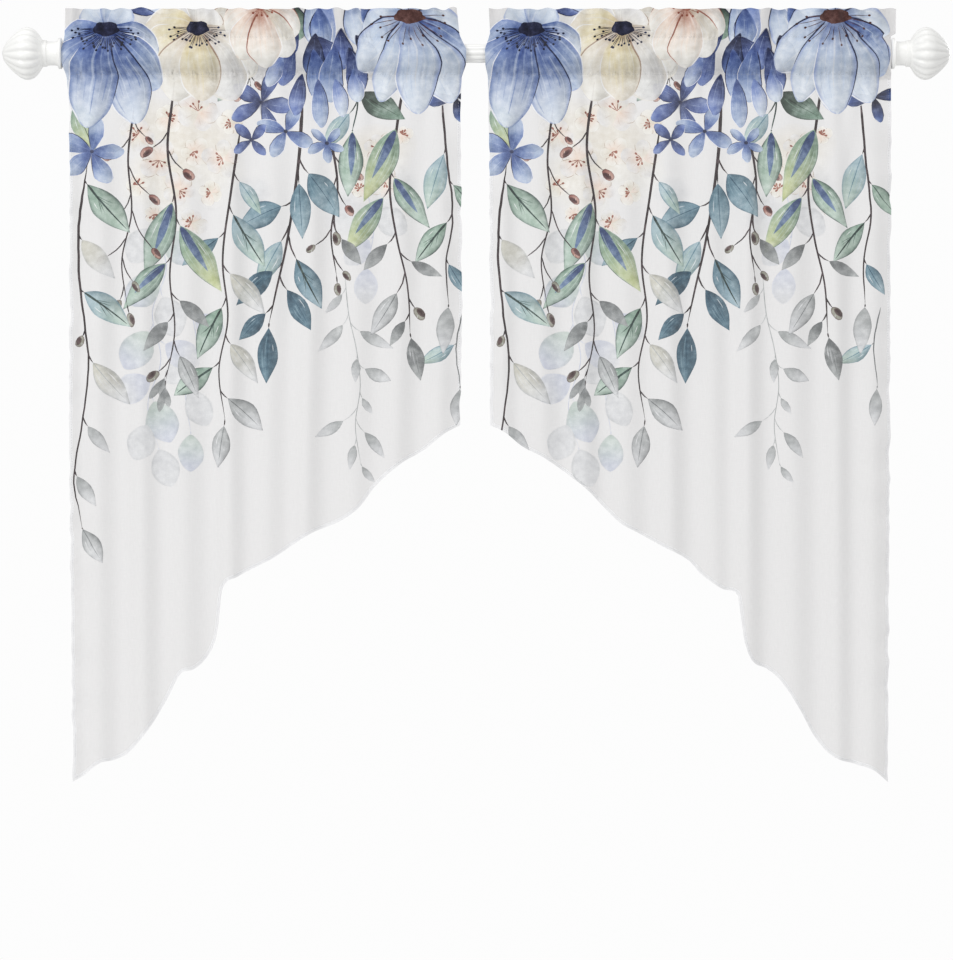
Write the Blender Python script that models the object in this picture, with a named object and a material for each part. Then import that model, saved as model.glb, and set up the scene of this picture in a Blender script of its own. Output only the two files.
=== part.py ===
"""A pair of sheer swag window valance panels hanging side by side on one fluted curtain rod.

Metres, +Z up. The origin is on the rod's axis, halfway along it, and the room side faces -Y.
Each panel is one closed sheet: a ruffled heading, a pocket round the rod, shallow uneven folds and a
hem that steps down from the short inner edge to the long outer edge. The rod ends in fluted balls.
"""

import math
from collections import namedtuple

import bmesh
import bpy
import numpy as np

MM = 0.001

# Rod and finials (mm)
ROD_LENGTH = 978.0
ROD_RADIUS = 11.0
ROD_FLUTES = 10
ROD_FLUTE_DEPTH = 1.2
STEPS_PER_ROD_FLUTE = 4
SEAT_GAP = 0.3
BALL_FLUTES = 16
BALL_FLUTE_DEPTH = 0.07  # share of the ball's radius
STEPS_PER_BALL_FLUTE = 3

# Cloth (mm)
SHEET = 1.2
HEADING_SHEET = 2.2  # front and back layers sewn as one above the pocket
HEADING_TOP = 53.0
HEADING_SCALLOP = 1.6  # how far the top edge rises and falls
SCALLOPS_PER_GATHER = 1.15
TOP_STITCH = 19.5
BOTTOM_STITCH = -24.5
POCKET_PEAK = 16.8
POCKET_FOOT = -22.4
POCKET_CREST = 3.2  # how much further a gather's crest stands off the rod

# Gathers along the rod: half heights of their ripple in mm, lengths in mm, angles in radians
GATHERS = 17.5
STEPS_PER_GATHER = 4
GATHER_TOP = 3.4  # at the heading's top edge
GATHER_STITCH = 1.2  # along the two stitch lines
STITCH_SLACK = 0.7  # share of the stitch ripple that the pocket's inside follows
GATHER_SWELL = 1.4  # extra share of ripple where the cloth leaves the pocket
SWELL_END = 0.25  # share of the drop where that extra has gone
GATHER_FADE = 90.0  # below the pocket, where the gathers have died out
CROWDING = 1.1  # how far the gathers crowd together and spread
CROWDINGS = 3  # times across a panel
UNEVENNESS = 0.22  # share by which some gathers stand higher than others
UNEVEN_TURNS = 5  # times across a panel
UNEVEN_START = 2.6
FOLD_RISE = 170.0  # below the pocket, where the broad folds reach full depth

HEADING_ROWS = 2
BODY_ROWS = (0.0, 0.035, 0.085, 0.15, 0.24, 0.35, 0.48, 0.61, 0.74, 0.87, 1.0)  # share of the drop

Turning = namedtuple("Turning", "along radius lobed")  # mm out from the rod's end, mm, share of the flutes
FINIAL = [
    Turning(0.0, 16.4, 0.0),
    Turning(1.2, 18.2, 0.0),
    Turning(3.9, 18.2, 0.0),
    Turning(5.4, 14.8, 0.0),
    Turning(11.0, 14.0, 0.0),
    Turning(17.2, 14.3, 0.0),
    Turning(18.2, 15.6, 0.0),
    Turning(22.4, 15.6, 0.0),
    Turning(24.0, 17.4, 0.3),
    Turning(28.5, 24.3, 1.0),
    Turning(34.0, 29.0, 1.0),
    Turning(41.0, 31.0, 1.0),
    Turning(48.0, 29.2, 1.0),
    Turning(54.5, 24.6, 1.0),
    Turning(61.0, 18.6, 1.0),
    Turning(66.0, 12.6, 0.8),
    Turning(69.2, 7.0, 0.4),
    Turning(70.8, 2.2, 0.0),
]

Pocket = namedtuple("Pocket", "degrees radius crest")  # turned from straight up, at a gather's valley, share
POCKET = [
    Pocket(58.0, 11.6, 0.35),
    Pocket(88.0, 12.4, 0.9),
    Pocket(118.0, 13.4, 1.0),
    Pocket(142.0, 15.4, 0.8),
    Pocket(162.0, 18.9, 0.4),
]

Edge = namedtuple("Edge", "height inner outer")  # mm from the axis up, mm from mid-rod to each side edge
Hem = namedtuple("Hem", "across drop")  # mm from the inner edge, mm below the axis
Fold = namedtuple("Fold", "across width depth lean")  # mm: place, spread, stand-off, sideways by the hem
Panel = namedtuple("Panel", "side phase edges hem folds")

LEFT = Panel(
    side=-1,
    phase=0.4,
    edges=[
        Edge(54.0, 23.5, 486.0),
        Edge(22.0, 20.0, 486.5),
        Edge(4.0, 12.0, 488.0),
        Edge(-12.0, 12.5, 488.0),
        Edge(-28.0, 17.5, 484.0),
        Edge(-70.0, 19.0, 480.5),
        Edge(-300.0, 17.0, 480.0),
        Edge(-440.0, 19.5, 481.0),
        Edge(-860.0, 19.5, 476.0),
    ],
    hem=[
        Hem(0, 439), Hem(17, 448), Hem(42, 468), Hem(70, 485), Hem(99, 511), Hem(118, 536),
        Hem(140, 552), Hem(175, 567), Hem(221, 597), Hem(261, 618), Hem(279, 634), Hem(285, 684),
        Hem(297, 712), Hem(313, 727), Hem(328, 732), Hem(345, 763), Hem(366, 797), Hem(390, 825),
        Hem(407, 834), Hem(425, 838), Hem(441, 851), Hem(456, 860),
    ],
    folds=[
        Fold(24, 15, 9, 3), Fold(70, 17, 11, 10), Fold(121, 19, 9, 6), Fold(172, 15, 12, 14),
        Fold(219, 18, 9, 10), Fold(268, 15, 13, 3), Fold(318, 19, 10, 8), Fold(371, 16, 13, 2),
        Fold(420, 16, 10, 6), Fold(455, 10, 7, 0),
    ],
)

RIGHT = Panel(
    side=1,
    phase=2.3,
    edges=[
        Edge(54.0, 14.5, 495.5),
        Edge(24.0, 16.0, 495.0),
        Edge(19.6, 15.0, 488.3),
        Edge(4.0, 10.0, 488.3),
        Edge(-12.0, 10.5, 488.3),
        Edge(-28.0, 13.5, 489.5),
        Edge(-100.0, 15.0, 490.0),
        Edge(-300.0, 16.5, 489.0),
        Edge(-440.0, 16.0, 488.5),
        Edge(-860.0, 16.0, 486.0),
    ],
    hem=[
        Hem(0, 439), Hem(17, 447), Hem(38, 464), Hem(64, 478), Hem(86, 493), Hem(116, 517),
        Hem(134, 536), Hem(154, 555), Hem(174, 566), Hem(203, 582), Hem(233, 598), Hem(250, 616),
        Hem(273, 632), Hem(291, 638), Hem(299, 692), Hem(309, 717), Hem(327, 727), Hem(343, 741),
        Hem(365, 774), Hem(384, 808), Hem(405, 830), Hem(431, 839), Hem(454, 847), Hem(470, 861),
    ],
    folds=[
        Fold(14, 12, 8, 2), Fold(56, 18, 10, 8), Fold(104, 15, 12, 12), Fold(156, 20, 9, 5),
        Fold(205, 16, 12, 10), Fold(255, 17, 9, 12), Fold(301, 15, 13, 2), Fold(352, 20, 10, 6),
        Fold(402, 15, 12, 8), Fold(448, 16, 9, 2),
    ],
)


def clear_scene():
    for thing in list(bpy.data.objects):
        bpy.data.objects.remove(thing, do_unlink=True)


def material(name, colour, roughness, alpha=1.0):
    made = bpy.data.materials.new(name)
    made.use_nodes = True
    shader = made.node_tree.nodes["Principled BSDF"]
    shader.inputs["Base Color"].default_value = (*colour, 1.0)
    shader.inputs["Roughness"].default_value = roughness
    shader.inputs["Metallic"].default_value = 0.0
    shader.inputs["Alpha"].default_value = alpha
    made.diffuse_color = (*colour, alpha)
    return made


def add_object(name, mesh, surface):
    mesh.materials.append(surface)
    made = bpy.data.objects.new(name, mesh)
    bpy.context.scene.collection.objects.link(made)
    return made


def closed_mesh(name, points, faces):
    """A mesh of the given points (mm) and faces, with every face turned outwards."""
    shape = bmesh.new()
    corners = [shape.verts.new([value * MM for value in point]) for point in points]
    for face in faces:
        shape.faces.new([corners[number] for number in face])
    bmesh.ops.recalc_face_normals(shape, faces=shape.faces)
    mesh = bpy.data.meshes.new(name)
    shape.to_mesh(mesh)
    shape.free()
    mesh.shade_smooth()
    return mesh


def fluted_ring(x, radius, flutes, steps, depth):
    """Points round the rod's axis at x, with hollows cut into the circle and some steps to each."""
    count = flutes * steps
    ring = []
    for step in range(count):
        angle = 2 * math.pi * step / count
        hollow = (0.5 + 0.5 * math.cos(flutes * angle)) ** 2
        reach = radius * (1 - depth * hollow)
        ring.append((x, reach * math.sin(angle), reach * math.cos(angle)))
    return ring


def turned_mesh(name, rings):
    """A closed mesh through rings of equal count, with a flat cap at each end."""
    count = len(rings[0])
    points = [point for ring in rings for point in ring]
    faces = [list(range(count)), list(range(len(points) - count, len(points)))]
    for row in range(len(rings) - 1):
        for step in range(count):
            after = (step + 1) % count
            low, high = row * count, (row + 1) * count
            faces.append((low + step, low + after, high + after, high + step))
    return closed_mesh(name, points, faces)


def make_rod(surface):
    half = ROD_LENGTH / 2
    depth = ROD_FLUTE_DEPTH / ROD_RADIUS
    rings = [fluted_ring(x, ROD_RADIUS, ROD_FLUTES, STEPS_PER_ROD_FLUTE, depth) for x in (-half, half)]
    mesh = turned_mesh("rod", rings)
    mesh.set_sharp_from_angle(angle=math.radians(50))
    add_object("rod", mesh, surface)


def make_finial(name, side, surface):
    start = ROD_LENGTH / 2 + SEAT_GAP
    rings = []
    for turning in FINIAL:
        x = side * (start + turning.along)
        depth = BALL_FLUTE_DEPTH * turning.lobed
        rings.append(fluted_ring(x, turning.radius, BALL_FLUTES, STEPS_PER_BALL_FLUTE, depth))
    mesh = turned_mesh(name, rings)
    mesh.set_sharp_from_angle(angle=math.radians(50))
    add_object(name, mesh, surface)


def column_shares():
    """Where the columns stand across the panel, from 0 at the inner edge to 1 at the outer edge."""
    count = round(GATHERS * STEPS_PER_GATHER)
    return [column / count for column in range(count + 1)]


def gather_wave(panel, share):
    """The ripple of the gathers, -1 to 1, uneven in pitch and height."""
    turns = 2 * math.pi * share
    crowding = CROWDING * math.sin(CROWDINGS * turns + panel.phase)
    height = 1 - UNEVENNESS + UNEVENNESS * math.sin(UNEVEN_TURNS * turns + UNEVEN_START * panel.phase)
    return height * math.sin(GATHERS * turns + crowding + panel.phase)


def ease(value):
    value = min(max(value, 0.0), 1.0)
    return value * value * (3 - 2 * value)


def fold_offset(panel, across, drop):
    """How far the broad folds bring the cloth forward at a place below the pocket (mm)."""
    longest = panel.hem[-1].drop
    below = drop + BOTTOM_STITCH
    total = 0.0
    for fold in panel.folds:
        middle = fold.across + fold.lean * drop / longest
        total += fold.depth * math.exp(-(((across - middle) / fold.width) ** 2))
    mean = sum(fold.depth for fold in panel.folds) / len(panel.folds)
    return (total - 0.5 * mean) * ease(below / FOLD_RISE)


def side_position(panel, share, height):
    """X of a place across the panel at the given height (mm)."""
    rows = sorted(panel.edges)
    heights = [row.height for row in rows]
    inner = np.interp(height, heights, [row.inner for row in rows])
    outer = np.interp(height, heights, [row.outer for row in rows])
    return panel.side * float(inner + (outer - inner) * share)


def hem_drop(panel, share):
    """Drop of the hem below the rod's axis, through the table on one smooth curve (mm)."""
    rows = panel.hem
    across = share * rows[-1].across
    index = max(i for i in range(len(rows) - 1) if rows[i].across <= across + 1e-9)
    low, high = rows[index], rows[index + 1]
    before = rows[max(index - 1, 0)]
    after = rows[min(index + 2, len(rows) - 1)]
    span = high.across - low.across
    t = (across - low.across) / span
    chord = high.drop - low.drop
    slope_in = (high.drop - before.drop) / (high.across - before.across) * span
    slope_out = (after.drop - low.drop) / (after.across - low.across) * span
    slope_in = min(max(slope_in, 0.0), 3 * chord)
    slope_out = min(max(slope_out, 0.0), 3 * chord)
    return (
        low.drop * (2 * t**3 - 3 * t**2 + 1)
        + slope_in * (t**3 - 2 * t**2 + t)
        + high.drop * (3 * t**2 - 2 * t**3)
        + slope_out * (t**3 - t**2)
    )


def heading_line(panel, share):
    """Middle of the heading from its top edge down to the top stitch, as (y, z) pairs (mm)."""
    wave = gather_wave(panel, share)
    scallop = math.sin(2 * math.pi * SCALLOPS_PER_GATHER * GATHERS * share + panel.phase)
    top = HEADING_TOP + HEADING_SCALLOP * scallop
    line = []
    for row in range(HEADING_ROWS + 1):
        down = row / HEADING_ROWS
        ripple = GATHER_TOP + (GATHER_STITCH - GATHER_TOP) * down
        line.append((-ripple * wave, top + (TOP_STITCH - top) * down))
    return line


def pocket_line(panel, share, facing):
    """Inside of the pocket's front (facing -1) or back (facing 1) wall, top to bottom (mm)."""
    crest = POCKET_CREST * (0.5 - 0.5 * facing * gather_wave(panel, share))
    line = []
    for row in POCKET:
        angle = math.radians(row.degrees)
        y = row.radius * math.sin(angle) + crest * row.crest
        line.append((facing * y, row.radius * math.cos(angle)))
    return line


def body_line(panel, share):
    """Middle of the hanging cloth from the bottom stitch to the hem, as (y, z) pairs (mm)."""
    wave = gather_wave(panel, share)
    across = share * panel.hem[-1].across
    end = hem_drop(panel, share)
    line = []
    for part in BODY_ROWS:
        drop = -BOTTOM_STITCH + (end + BOTTOM_STITCH) * part
        ripple = GATHER_STITCH * (1 + GATHER_SWELL * math.sin(math.pi * min(part / SWELL_END, 1.0)))
        ripple *= 1 - ease((drop + BOTTOM_STITCH) / GATHER_FADE)
        line.append((-ripple * wave - fold_offset(panel, across, drop), -drop))
    return line


def thickened(line, distance):
    """A line of (y, z) pairs moved sideways: towards -Y for a negative distance (mm)."""
    moved = []
    for row, (y, z) in enumerate(line):
        y0, z0 = line[max(row - 1, 0)]
        y1, z1 = line[min(row + 1, len(line) - 1)]
        length = math.hypot(y1 - y0, z1 - z0)
        moved.append((y - distance * (z1 - z0) / length, z + distance * (y1 - y0) / length))
    return moved


def panel_section(panel, share):
    """One column's outlines: room side, wall side, and the pocket's inside loop ((y, z) pairs, mm)."""
    heading = heading_line(panel, share)
    body = body_line(panel, share)
    wave = gather_wave(panel, share)
    slack = -STITCH_SLACK * GATHER_STITCH * wave
    peak = (slack, POCKET_PEAK)
    foot = (slack, POCKET_FOOT)
    walls = {}
    outlines = {}
    for facing in (-1, 1):
        inside = pocket_line(panel, share, facing)
        whole = thickened([peak] + inside + [foot], facing * SHEET)
        outer_wall = whole[1:-1]
        heading_face = thickened(heading, facing * HEADING_SHEET / 2)
        body_face = thickened(body, facing * SHEET / 2)
        outlines[facing] = heading_face + outer_wall + body_face
        walls[facing] = inside
    loop = [peak] + walls[-1] + [foot] + walls[1][::-1]
    return outlines[-1], outlines[1], loop


def make_panel(name, panel, surface):
    points = []
    columns = []
    for share in column_shares():
        front, back, loop = panel_section(panel, share)
        numbers = []
        for outline in (front, back, loop):
            first = len(points)
            points += [(side_position(panel, share, z), y, z) for y, z in outline]
            numbers.append(list(range(first, len(points))))
        columns.append(numbers)

    faces = []
    for near, far in zip(columns, columns[1:]):
        for outline in (0, 1):
            for row in range(len(near[outline]) - 1):
                faces.append((near[outline][row], near[outline][row + 1],
                              far[outline][row + 1], far[outline][row]))
        for row in range(len(near[2])):
            after = (row + 1) % len(near[2])
            faces.append((near[2][row], near[2][after], far[2][after], far[2][row]))
        for end in (0, -1):
            faces.append((near[0][end], near[1][end], far[1][end], far[0][end]))

    for numbers in (columns[0], columns[-1]):
        faces += end_faces(*numbers)
    mesh = closed_mesh(name, points, faces)
    mesh.set_sharp_from_angle(angle=math.radians(60))
    add_object(name, mesh, surface)


def end_faces(front, back, loop):
    """The faces that close a panel's side edge round the open end of its pocket."""
    stitch = HEADING_ROWS
    walls = len(POCKET)
    foot = stitch + walls + 1
    peak_point, foot_point = loop[0], loop[walls + 1]
    front_wall = [peak_point] + loop[1 : walls + 1] + [foot_point]
    back_wall = [peak_point] + loop[:walls + 1:-1] + [foot_point]
    faces = []
    for row in range(len(front) - 1):
        if row < stitch or row >= foot:
            faces.append((front[row], front[row + 1], back[row + 1], back[row]))
    for outline, wall in ((front, front_wall), (back, back_wall)):
        for row in range(walls + 1):
            faces.append((outline[stitch + row], outline[stitch + row + 1], wall[row + 1], wall[row]))
    faces.append((front[stitch], back[stitch], peak_point))
    faces.append((front[foot], back[foot], foot_point))
    return faces


clear_scene()
voile = material("white_voile", (0.86, 0.87, 0.89), 0.85, alpha=0.8)
painted = material("white_painted_wood", (0.83, 0.83, 0.82), 0.35)
make_rod(painted)
make_finial("finial_left", -1, painted)
make_finial("finial_right", 1, painted)
make_panel("panel_left", LEFT, voile)
make_panel("panel_right", RIGHT, voile)
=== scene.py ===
"""Looks of a pair of sheer swag valance panels on one fluted rod.

Printed voile panels with their turned hems and stitching, the painted rod with its ball finials, and a
plain stage. Lengths in the tables are millimetres; the meshes are in metres, in the frame's own place.
"""

import math
import random
from collections import namedtuple

import bpy
import numpy as np
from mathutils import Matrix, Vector
from mathutils.geometry import delaunay_2d_cdt
from mathutils.kdtree import KDTree


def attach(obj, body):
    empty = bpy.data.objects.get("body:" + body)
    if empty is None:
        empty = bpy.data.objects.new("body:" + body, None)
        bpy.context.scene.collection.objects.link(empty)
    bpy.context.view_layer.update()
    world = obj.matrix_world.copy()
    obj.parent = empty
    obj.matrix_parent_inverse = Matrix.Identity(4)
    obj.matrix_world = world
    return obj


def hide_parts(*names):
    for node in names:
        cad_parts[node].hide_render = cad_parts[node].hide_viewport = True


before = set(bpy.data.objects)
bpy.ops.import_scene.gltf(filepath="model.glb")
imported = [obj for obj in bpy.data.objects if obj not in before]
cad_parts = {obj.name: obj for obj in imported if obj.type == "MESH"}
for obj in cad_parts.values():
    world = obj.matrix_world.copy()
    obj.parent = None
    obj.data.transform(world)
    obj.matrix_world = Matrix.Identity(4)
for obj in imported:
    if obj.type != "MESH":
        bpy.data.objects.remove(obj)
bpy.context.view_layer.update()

bl_info = {
    "name": "Swag valance pair",
    "version": (1, 0, 0),
    "blender": (4, 5, 0),
    "location": "3D View > Sidebar > Valance",
    "description": "Makes a pair of printed voile valance panels on a fluted rod with ball finials",
    "category": "Add Mesh",
}

MM = 0.001
BODY = "root"
SIDES = {"left": -1, "right": 1}

# The hung cloth (mm); heights are from the rod's axis up, shares run from a panel's inner to its outer edge
HEADING_TOP = 53.0
HEADING_SCALLOP = 1.6
SCALLOPS_PER_GATHER = 1.15
TOP_STITCH = 19.5
BOTTOM_STITCH = -24.5
POCKET_PEAK = 16.8
POCKET_FOOT = -22.4
POCKET_CREST = 3.2
POCKET_WALL = 0.6  # from the pocket's inside to the middle of the cloth
GATHERS = 17.5
GATHER_TOP = 3.4
GATHER_STITCH = 1.2
STITCH_SLACK = 0.7
GATHER_SWELL = 1.4
SWELL_END = 0.25
GATHER_FADE = 90.0
CROWDING = 1.1
CROWDINGS = 3
UNEVENNESS = 0.22
UNEVEN_TURNS = 5
UNEVEN_START = 2.6
FOLD_RISE = 170.0

# Fine shape that only the voile itself shows (mm)
LAYER_GAP = 0.2  # from the middle to each layer where they are sewn together
HEADING_PUFF = 0.7  # how much further the two layers of the heading stand apart
PUCKER = 0.6  # half height of the little puckers at the stitches
PUCKER_REACH = 9.0
PUCKERS = 61.0
EDGE_WAVE = 1.0  # how far the side edges wander in and out
EDGE_WAVE_LENGTH = 58.0
EDGE_WAVE_REACH = 22.0
RING_REACH = 19.6  # the finial's ring reaches almost this far from the axis
RING_SIDE = 489.0  # the pocket ends just short of the ring
TUCK = 4.4  # the height in which the cloth draws in to pass the ring
TUCK_SHARE = 0.14  # the share of the width that draws in
TAIL = 6.5  # cloth turned under below the pocket's back
TURN_GAP = 0.45  # from the cloth to the hem turned behind it
STITCH_PROUD = 0.1  # how far the stitches stand in front of the cloth

# How the cloth is meshed (mm)
FRONT_ZONES = [  # the setting with the zone's spacing, and the zone's top and foot down from the rod's axis
    ("heading_step", -60.0, 34.0), ("print_step", 36.0, 560.0), ("plain_step", 563.0, 862.0),
]
EDGE_STEP = 2.4  # mesh spacing along the top edge and the hem
SIDE_STEP = 3.6
BACK_COVER = 0.8  # drawn lines fainter than this don't show behind
ROUTE_STEP = 3.0  # spacing along the sides of the lines that follow the hem
STITCH_INSET = 4.0  # from the side edges to the ends of the pocket's seams
SEAM_STEP = 2.0  # spacing along the pocket's seams
HEM_SEAM = 0.7  # where the hem's seam lies, as a share of the hem's width
HEM_OVERLAP = 2.0  # how far the band of the doubled hem is drawn past the edge
BAKE_RIM = 0.004  # share of the bake map that is left free at each edge
BAKE_SPAN = 0.992
BACK_BAKE_ACROSS = {-1: (0.42, 0.97), 1: (0.03, 0.58)}  # the back layer's part of the map's width
BACK_BAKE_START = 150.0  # and its top and height, as lengths of cloth up from the lowest point
BACK_BAKE_SPAN = 140.0
NEARNESS = 1e-4  # places of the cut closer than this are one

# How finely the shapes of the print are outlined (mm)
BLADE_STEP = 3.8
STROKE_STEP = 6.0
BLOB_STEPS = 1.6  # steps round a blob for each mm of its radius
NARROW = 3.0  # a leaf or petal with less to each side has no inner ring
SMALL = 4.0  # nor has a blob with a smaller radius

# How finely the turned wood is made
STEPS_PER_FLUTE = 10
ROD_STEPS = 60
BALL_STEPS = 96
SHARP_EDGE = 40.0  # degrees

# The stage (metres)
BACKDROP = 0.98  # how bright the plain backdrop is
FLOOR_STEPS = 96
FLOOR_RADIUS = 1.3
Lamp = namedtuple("Lamp", "name place width aim")  # aim: 0 at the rod's middle, 1 at the picture's middle
LAMPS = [
    Lamp("key", (-3.0, -2.8, 0.7), 1.8, 1), Lamp("fill", (2.6, -3.0, -0.7), 2.4, 1),
    Lamp("top", (0.0, -1.5, 2.6), 1.6, 0), Lamp("back", (2.6, 2.9, 0.6), 2.0, 1),
]

Pocket = namedtuple("Pocket", "degrees radius crest")
POCKET = [
    Pocket(58.0, 11.6, 0.35), Pocket(88.0, 12.4, 0.9), Pocket(118.0, 13.4, 1.0), Pocket(142.0, 15.4, 0.8),
    Pocket(162.0, 18.9, 0.4),
]

Turning = namedtuple("Turning", "along radius lobed", defaults=(0.0,))  # lobed: share of the flutes' depth
FINIAL = [
    Turning(0.0, 16.4), Turning(1.2, 18.2), Turning(3.9, 18.2), Turning(5.4, 14.8), Turning(11.0, 14.0),
    Turning(17.2, 14.3), Turning(18.2, 15.6), Turning(22.4, 15.6), Turning(24.0, 17.4, 0.3),
    Turning(28.5, 24.3, 1.0), Turning(34.0, 29.0, 1.0), Turning(41.0, 31.0, 1.0), Turning(48.0, 29.2, 1.0),
    Turning(54.5, 24.6, 1.0), Turning(61.0, 18.6, 1.0), Turning(66.0, 12.6, 0.8), Turning(69.2, 7.0, 0.4),
    Turning(70.8, 1.2),
]

Edge = namedtuple("Edge", "height inner outer")
Hem = namedtuple("Hem", "across drop")
Fold = namedtuple("Fold", "across width depth lean")
Cut = namedtuple("Cut", "phase edges hem folds")

CUTS = {
    "left": Cut(
        phase=0.4,
        edges=[
            Edge(54.0, 23.5, 486.0), Edge(22.0, 20.0, 486.5), Edge(4.0, 12.0, 489.0),
            Edge(-12.0, 12.5, 489.0), Edge(-28.0, 17.5, 484.0), Edge(-70.0, 19.0, 480.5),
            Edge(-300.0, 17.0, 480.0), Edge(-440.0, 19.5, 481.0), Edge(-860.0, 19.5, 476.0),
        ],
        hem=[
            Hem(0, 439), Hem(17, 448), Hem(42, 468), Hem(70, 485), Hem(99, 511), Hem(118, 536),
            Hem(140, 552), Hem(175, 567), Hem(221, 597), Hem(261, 618), Hem(279, 634), Hem(285, 684),
            Hem(297, 712), Hem(313, 727), Hem(328, 732), Hem(345, 763), Hem(366, 797), Hem(390, 825),
            Hem(407, 834), Hem(425, 838), Hem(441, 851), Hem(456, 860),
        ],
        folds=[
            Fold(24, 15, 9, 3), Fold(70, 17, 11, 10), Fold(121, 19, 9, 6), Fold(172, 15, 12, 14),
            Fold(219, 18, 9, 10), Fold(268, 15, 13, 3), Fold(318, 19, 10, 8), Fold(371, 16, 13, 2),
            Fold(420, 16, 10, 6), Fold(455, 10, 7, 0),
        ],
    ),
    "right": Cut(
        phase=2.3,
        edges=[
            Edge(54.0, 14.5, 495.5), Edge(24.0, 16.0, 495.0), Edge(4.0, 10.0, 492.9),
            Edge(-12.0, 10.5, 491.2), Edge(-28.0, 13.5, 489.5), Edge(-100.0, 15.0, 490.0),
            Edge(-300.0, 16.5, 489.0), Edge(-440.0, 16.0, 488.5), Edge(-860.0, 16.0, 486.0),
        ],
        hem=[
            Hem(0, 439), Hem(17, 447), Hem(38, 464), Hem(64, 478), Hem(86, 493), Hem(116, 517),
            Hem(134, 536), Hem(154, 555), Hem(174, 566), Hem(203, 582), Hem(233, 598), Hem(250, 616),
            Hem(273, 632), Hem(291, 638), Hem(299, 692), Hem(309, 717), Hem(327, 727), Hem(343, 741),
            Hem(365, 774), Hem(384, 808), Hem(405, 830), Hem(431, 839), Hem(454, 847), Hem(470, 861),
        ],
        folds=[
            Fold(14, 12, 8, 2), Fold(56, 18, 10, 8), Fold(104, 15, 12, 12), Fold(156, 20, 9, 5),
            Fold(205, 16, 12, 10), Fold(255, 17, 9, 12), Fold(301, 15, 13, 2), Fold(352, 20, 10, 6),
            Fold(402, 15, 12, 8), Fold(448, 16, 9, 2),
        ],
    ),
}


# ------------------------------------------------------------------ sizes and colours


def tint(label, red, green, blue):
    """A display colour, given as 0 to 255."""
    default = (red / 255, green / 255, blue / 255)
    return bpy.props.FloatVectorProperty(
        name=label, description=f"{label} of the print or finish", default=default,
        subtype="COLOR_GAMMA", size=3, min=0.0, max=1.0)


def size(label, default, description):
    return bpy.props.FloatProperty(
        name=label, description=description, default=default, subtype="DISTANCE", unit="LENGTH")


def share(label, default, description="Share of the radius"):
    return bpy.props.FloatProperty(name=label, description=description, default=default, min=0.0, max=1.0)


def count(label, default, description):
    return bpy.props.IntProperty(name=label, description=description, default=default)


def power(label, default):
    return bpy.props.FloatProperty(name=label, description="Power", default=default, unit="POWER")


class ValanceColours(bpy.types.PropertyGroup):
    cloth: tint("White voile", 225, 224, 224)
    # hem: lighter than the voile as painted light, standing in for light that the doubled cloth lets through;
    # also the white of the print's reserve lines
    hem: tint("Doubled hem", 239, 239, 240)
    paint: tint("White paint", 248, 248, 246)
    thread: tint("Thread", 236, 237, 240)
    navy: tint("Navy", 24, 27, 52)
    indigo: tint("Indigo", 50, 64, 114)
    blue: tint("Mid blue", 86, 109, 166)
    periwinkle: tint("Periwinkle", 128, 146, 198)
    sky: tint("Pale blue", 182, 196, 218)
    ice: tint("Ice blue", 216, 224, 234)
    cream: tint("Cream", 227, 220, 207)
    butter: tint("Butter", 226, 216, 178)
    peach: tint("Peach", 234, 216, 203)
    petal_white: tint("Petal white", 236, 234, 228)
    line: tint("Petal outline", 158, 134, 116)
    rust: tint("Rust", 142, 82, 66)
    brown: tint("Brown eye", 78, 46, 40)
    bark: tint("Bark", 38, 25, 28)
    berry: tint("Berry", 152, 98, 88)
    berry_dark: tint("Dark berry", 58, 34, 37)
    rose: tint("Berry light", 198, 160, 148)
    hip: tint("Grey berry", 150, 150, 136)
    pine: tint("Dark green", 46, 60, 52)
    leaf_line: tint("Leaf vein", 40, 58, 54)
    sage: tint("Sage", 138, 164, 148)
    mint: tint("Pale sage", 190, 208, 196)
    olive: tint("Olive", 200, 206, 156)
    teal: tint("Teal", 96, 128, 144)
    teal_pale: tint("Pale teal", 156, 180, 190)
    teal_dark: tint("Dark teal", 56, 86, 104)
    dew: tint("Dew green", 192, 204, 197)
    warm: tint("Warm grey leaf", 204, 202, 190)
    grey: tint("Grey leaf", 170, 173, 173)
    ash: tint("Ash", 112, 115, 116)
    mist: tint("Mist", 216, 217, 219)
    lilac: tint("Lilac mist", 202, 206, 219)


class ValanceCloth(bpy.types.PropertyGroup):
    heading_step: size("Heading step", 0.0032, "Mesh spacing in the heading and the pocket")
    print_step: size("Print step", 0.0046, "Mesh spacing under the printed part")
    plain_step: size("Plain step", 0.0075, "Mesh spacing under the plain part")
    hem_width: size("Hem width", 0.0038, "Width of the hem turned behind the edges")
    flat_width: size("Flat width", 0.508, "Width of each panel before it was gathered")
    flat_length: size("Flat length", 1.010, "Length of the cut, with the turned-back heading and hems")
    flat_area: bpy.props.FloatProperty(
        name="Flat area", description="Area of the stepped cut in square metres", default=0.40, unit="AREA")
    cover: share("Cover", 0.80, "Share of the light that plain voile stops")


class ValanceStitching(bpy.types.PropertyGroup):
    pitch: size("Stitch pitch", 0.0031, "From one stitch to the next")
    length: size("Stitch length", 0.0025, "Length of thread that shows")
    thickness: size("Thread thickness", 0.00034, "Thickness of the thread")


class ValanceRod(bpy.types.PropertyGroup):
    radius: size("Rod radius", 0.011, "Radius of the rod over its ribs")
    length: size("Rod length", 0.978, "Length between the finials")
    seat_gap: size("Seat gap", 0.0003, "From the rod's end to each finial")
    rod_flutes: count("Rod flutes", 10, "Flutes round the rod")
    rod_depth: share("Rod flute depth", 0.109)
    ball_flutes: count("Ball flutes", 16, "Flutes round the ball")
    ball_depth: share("Ball flute depth", 0.075)


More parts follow.
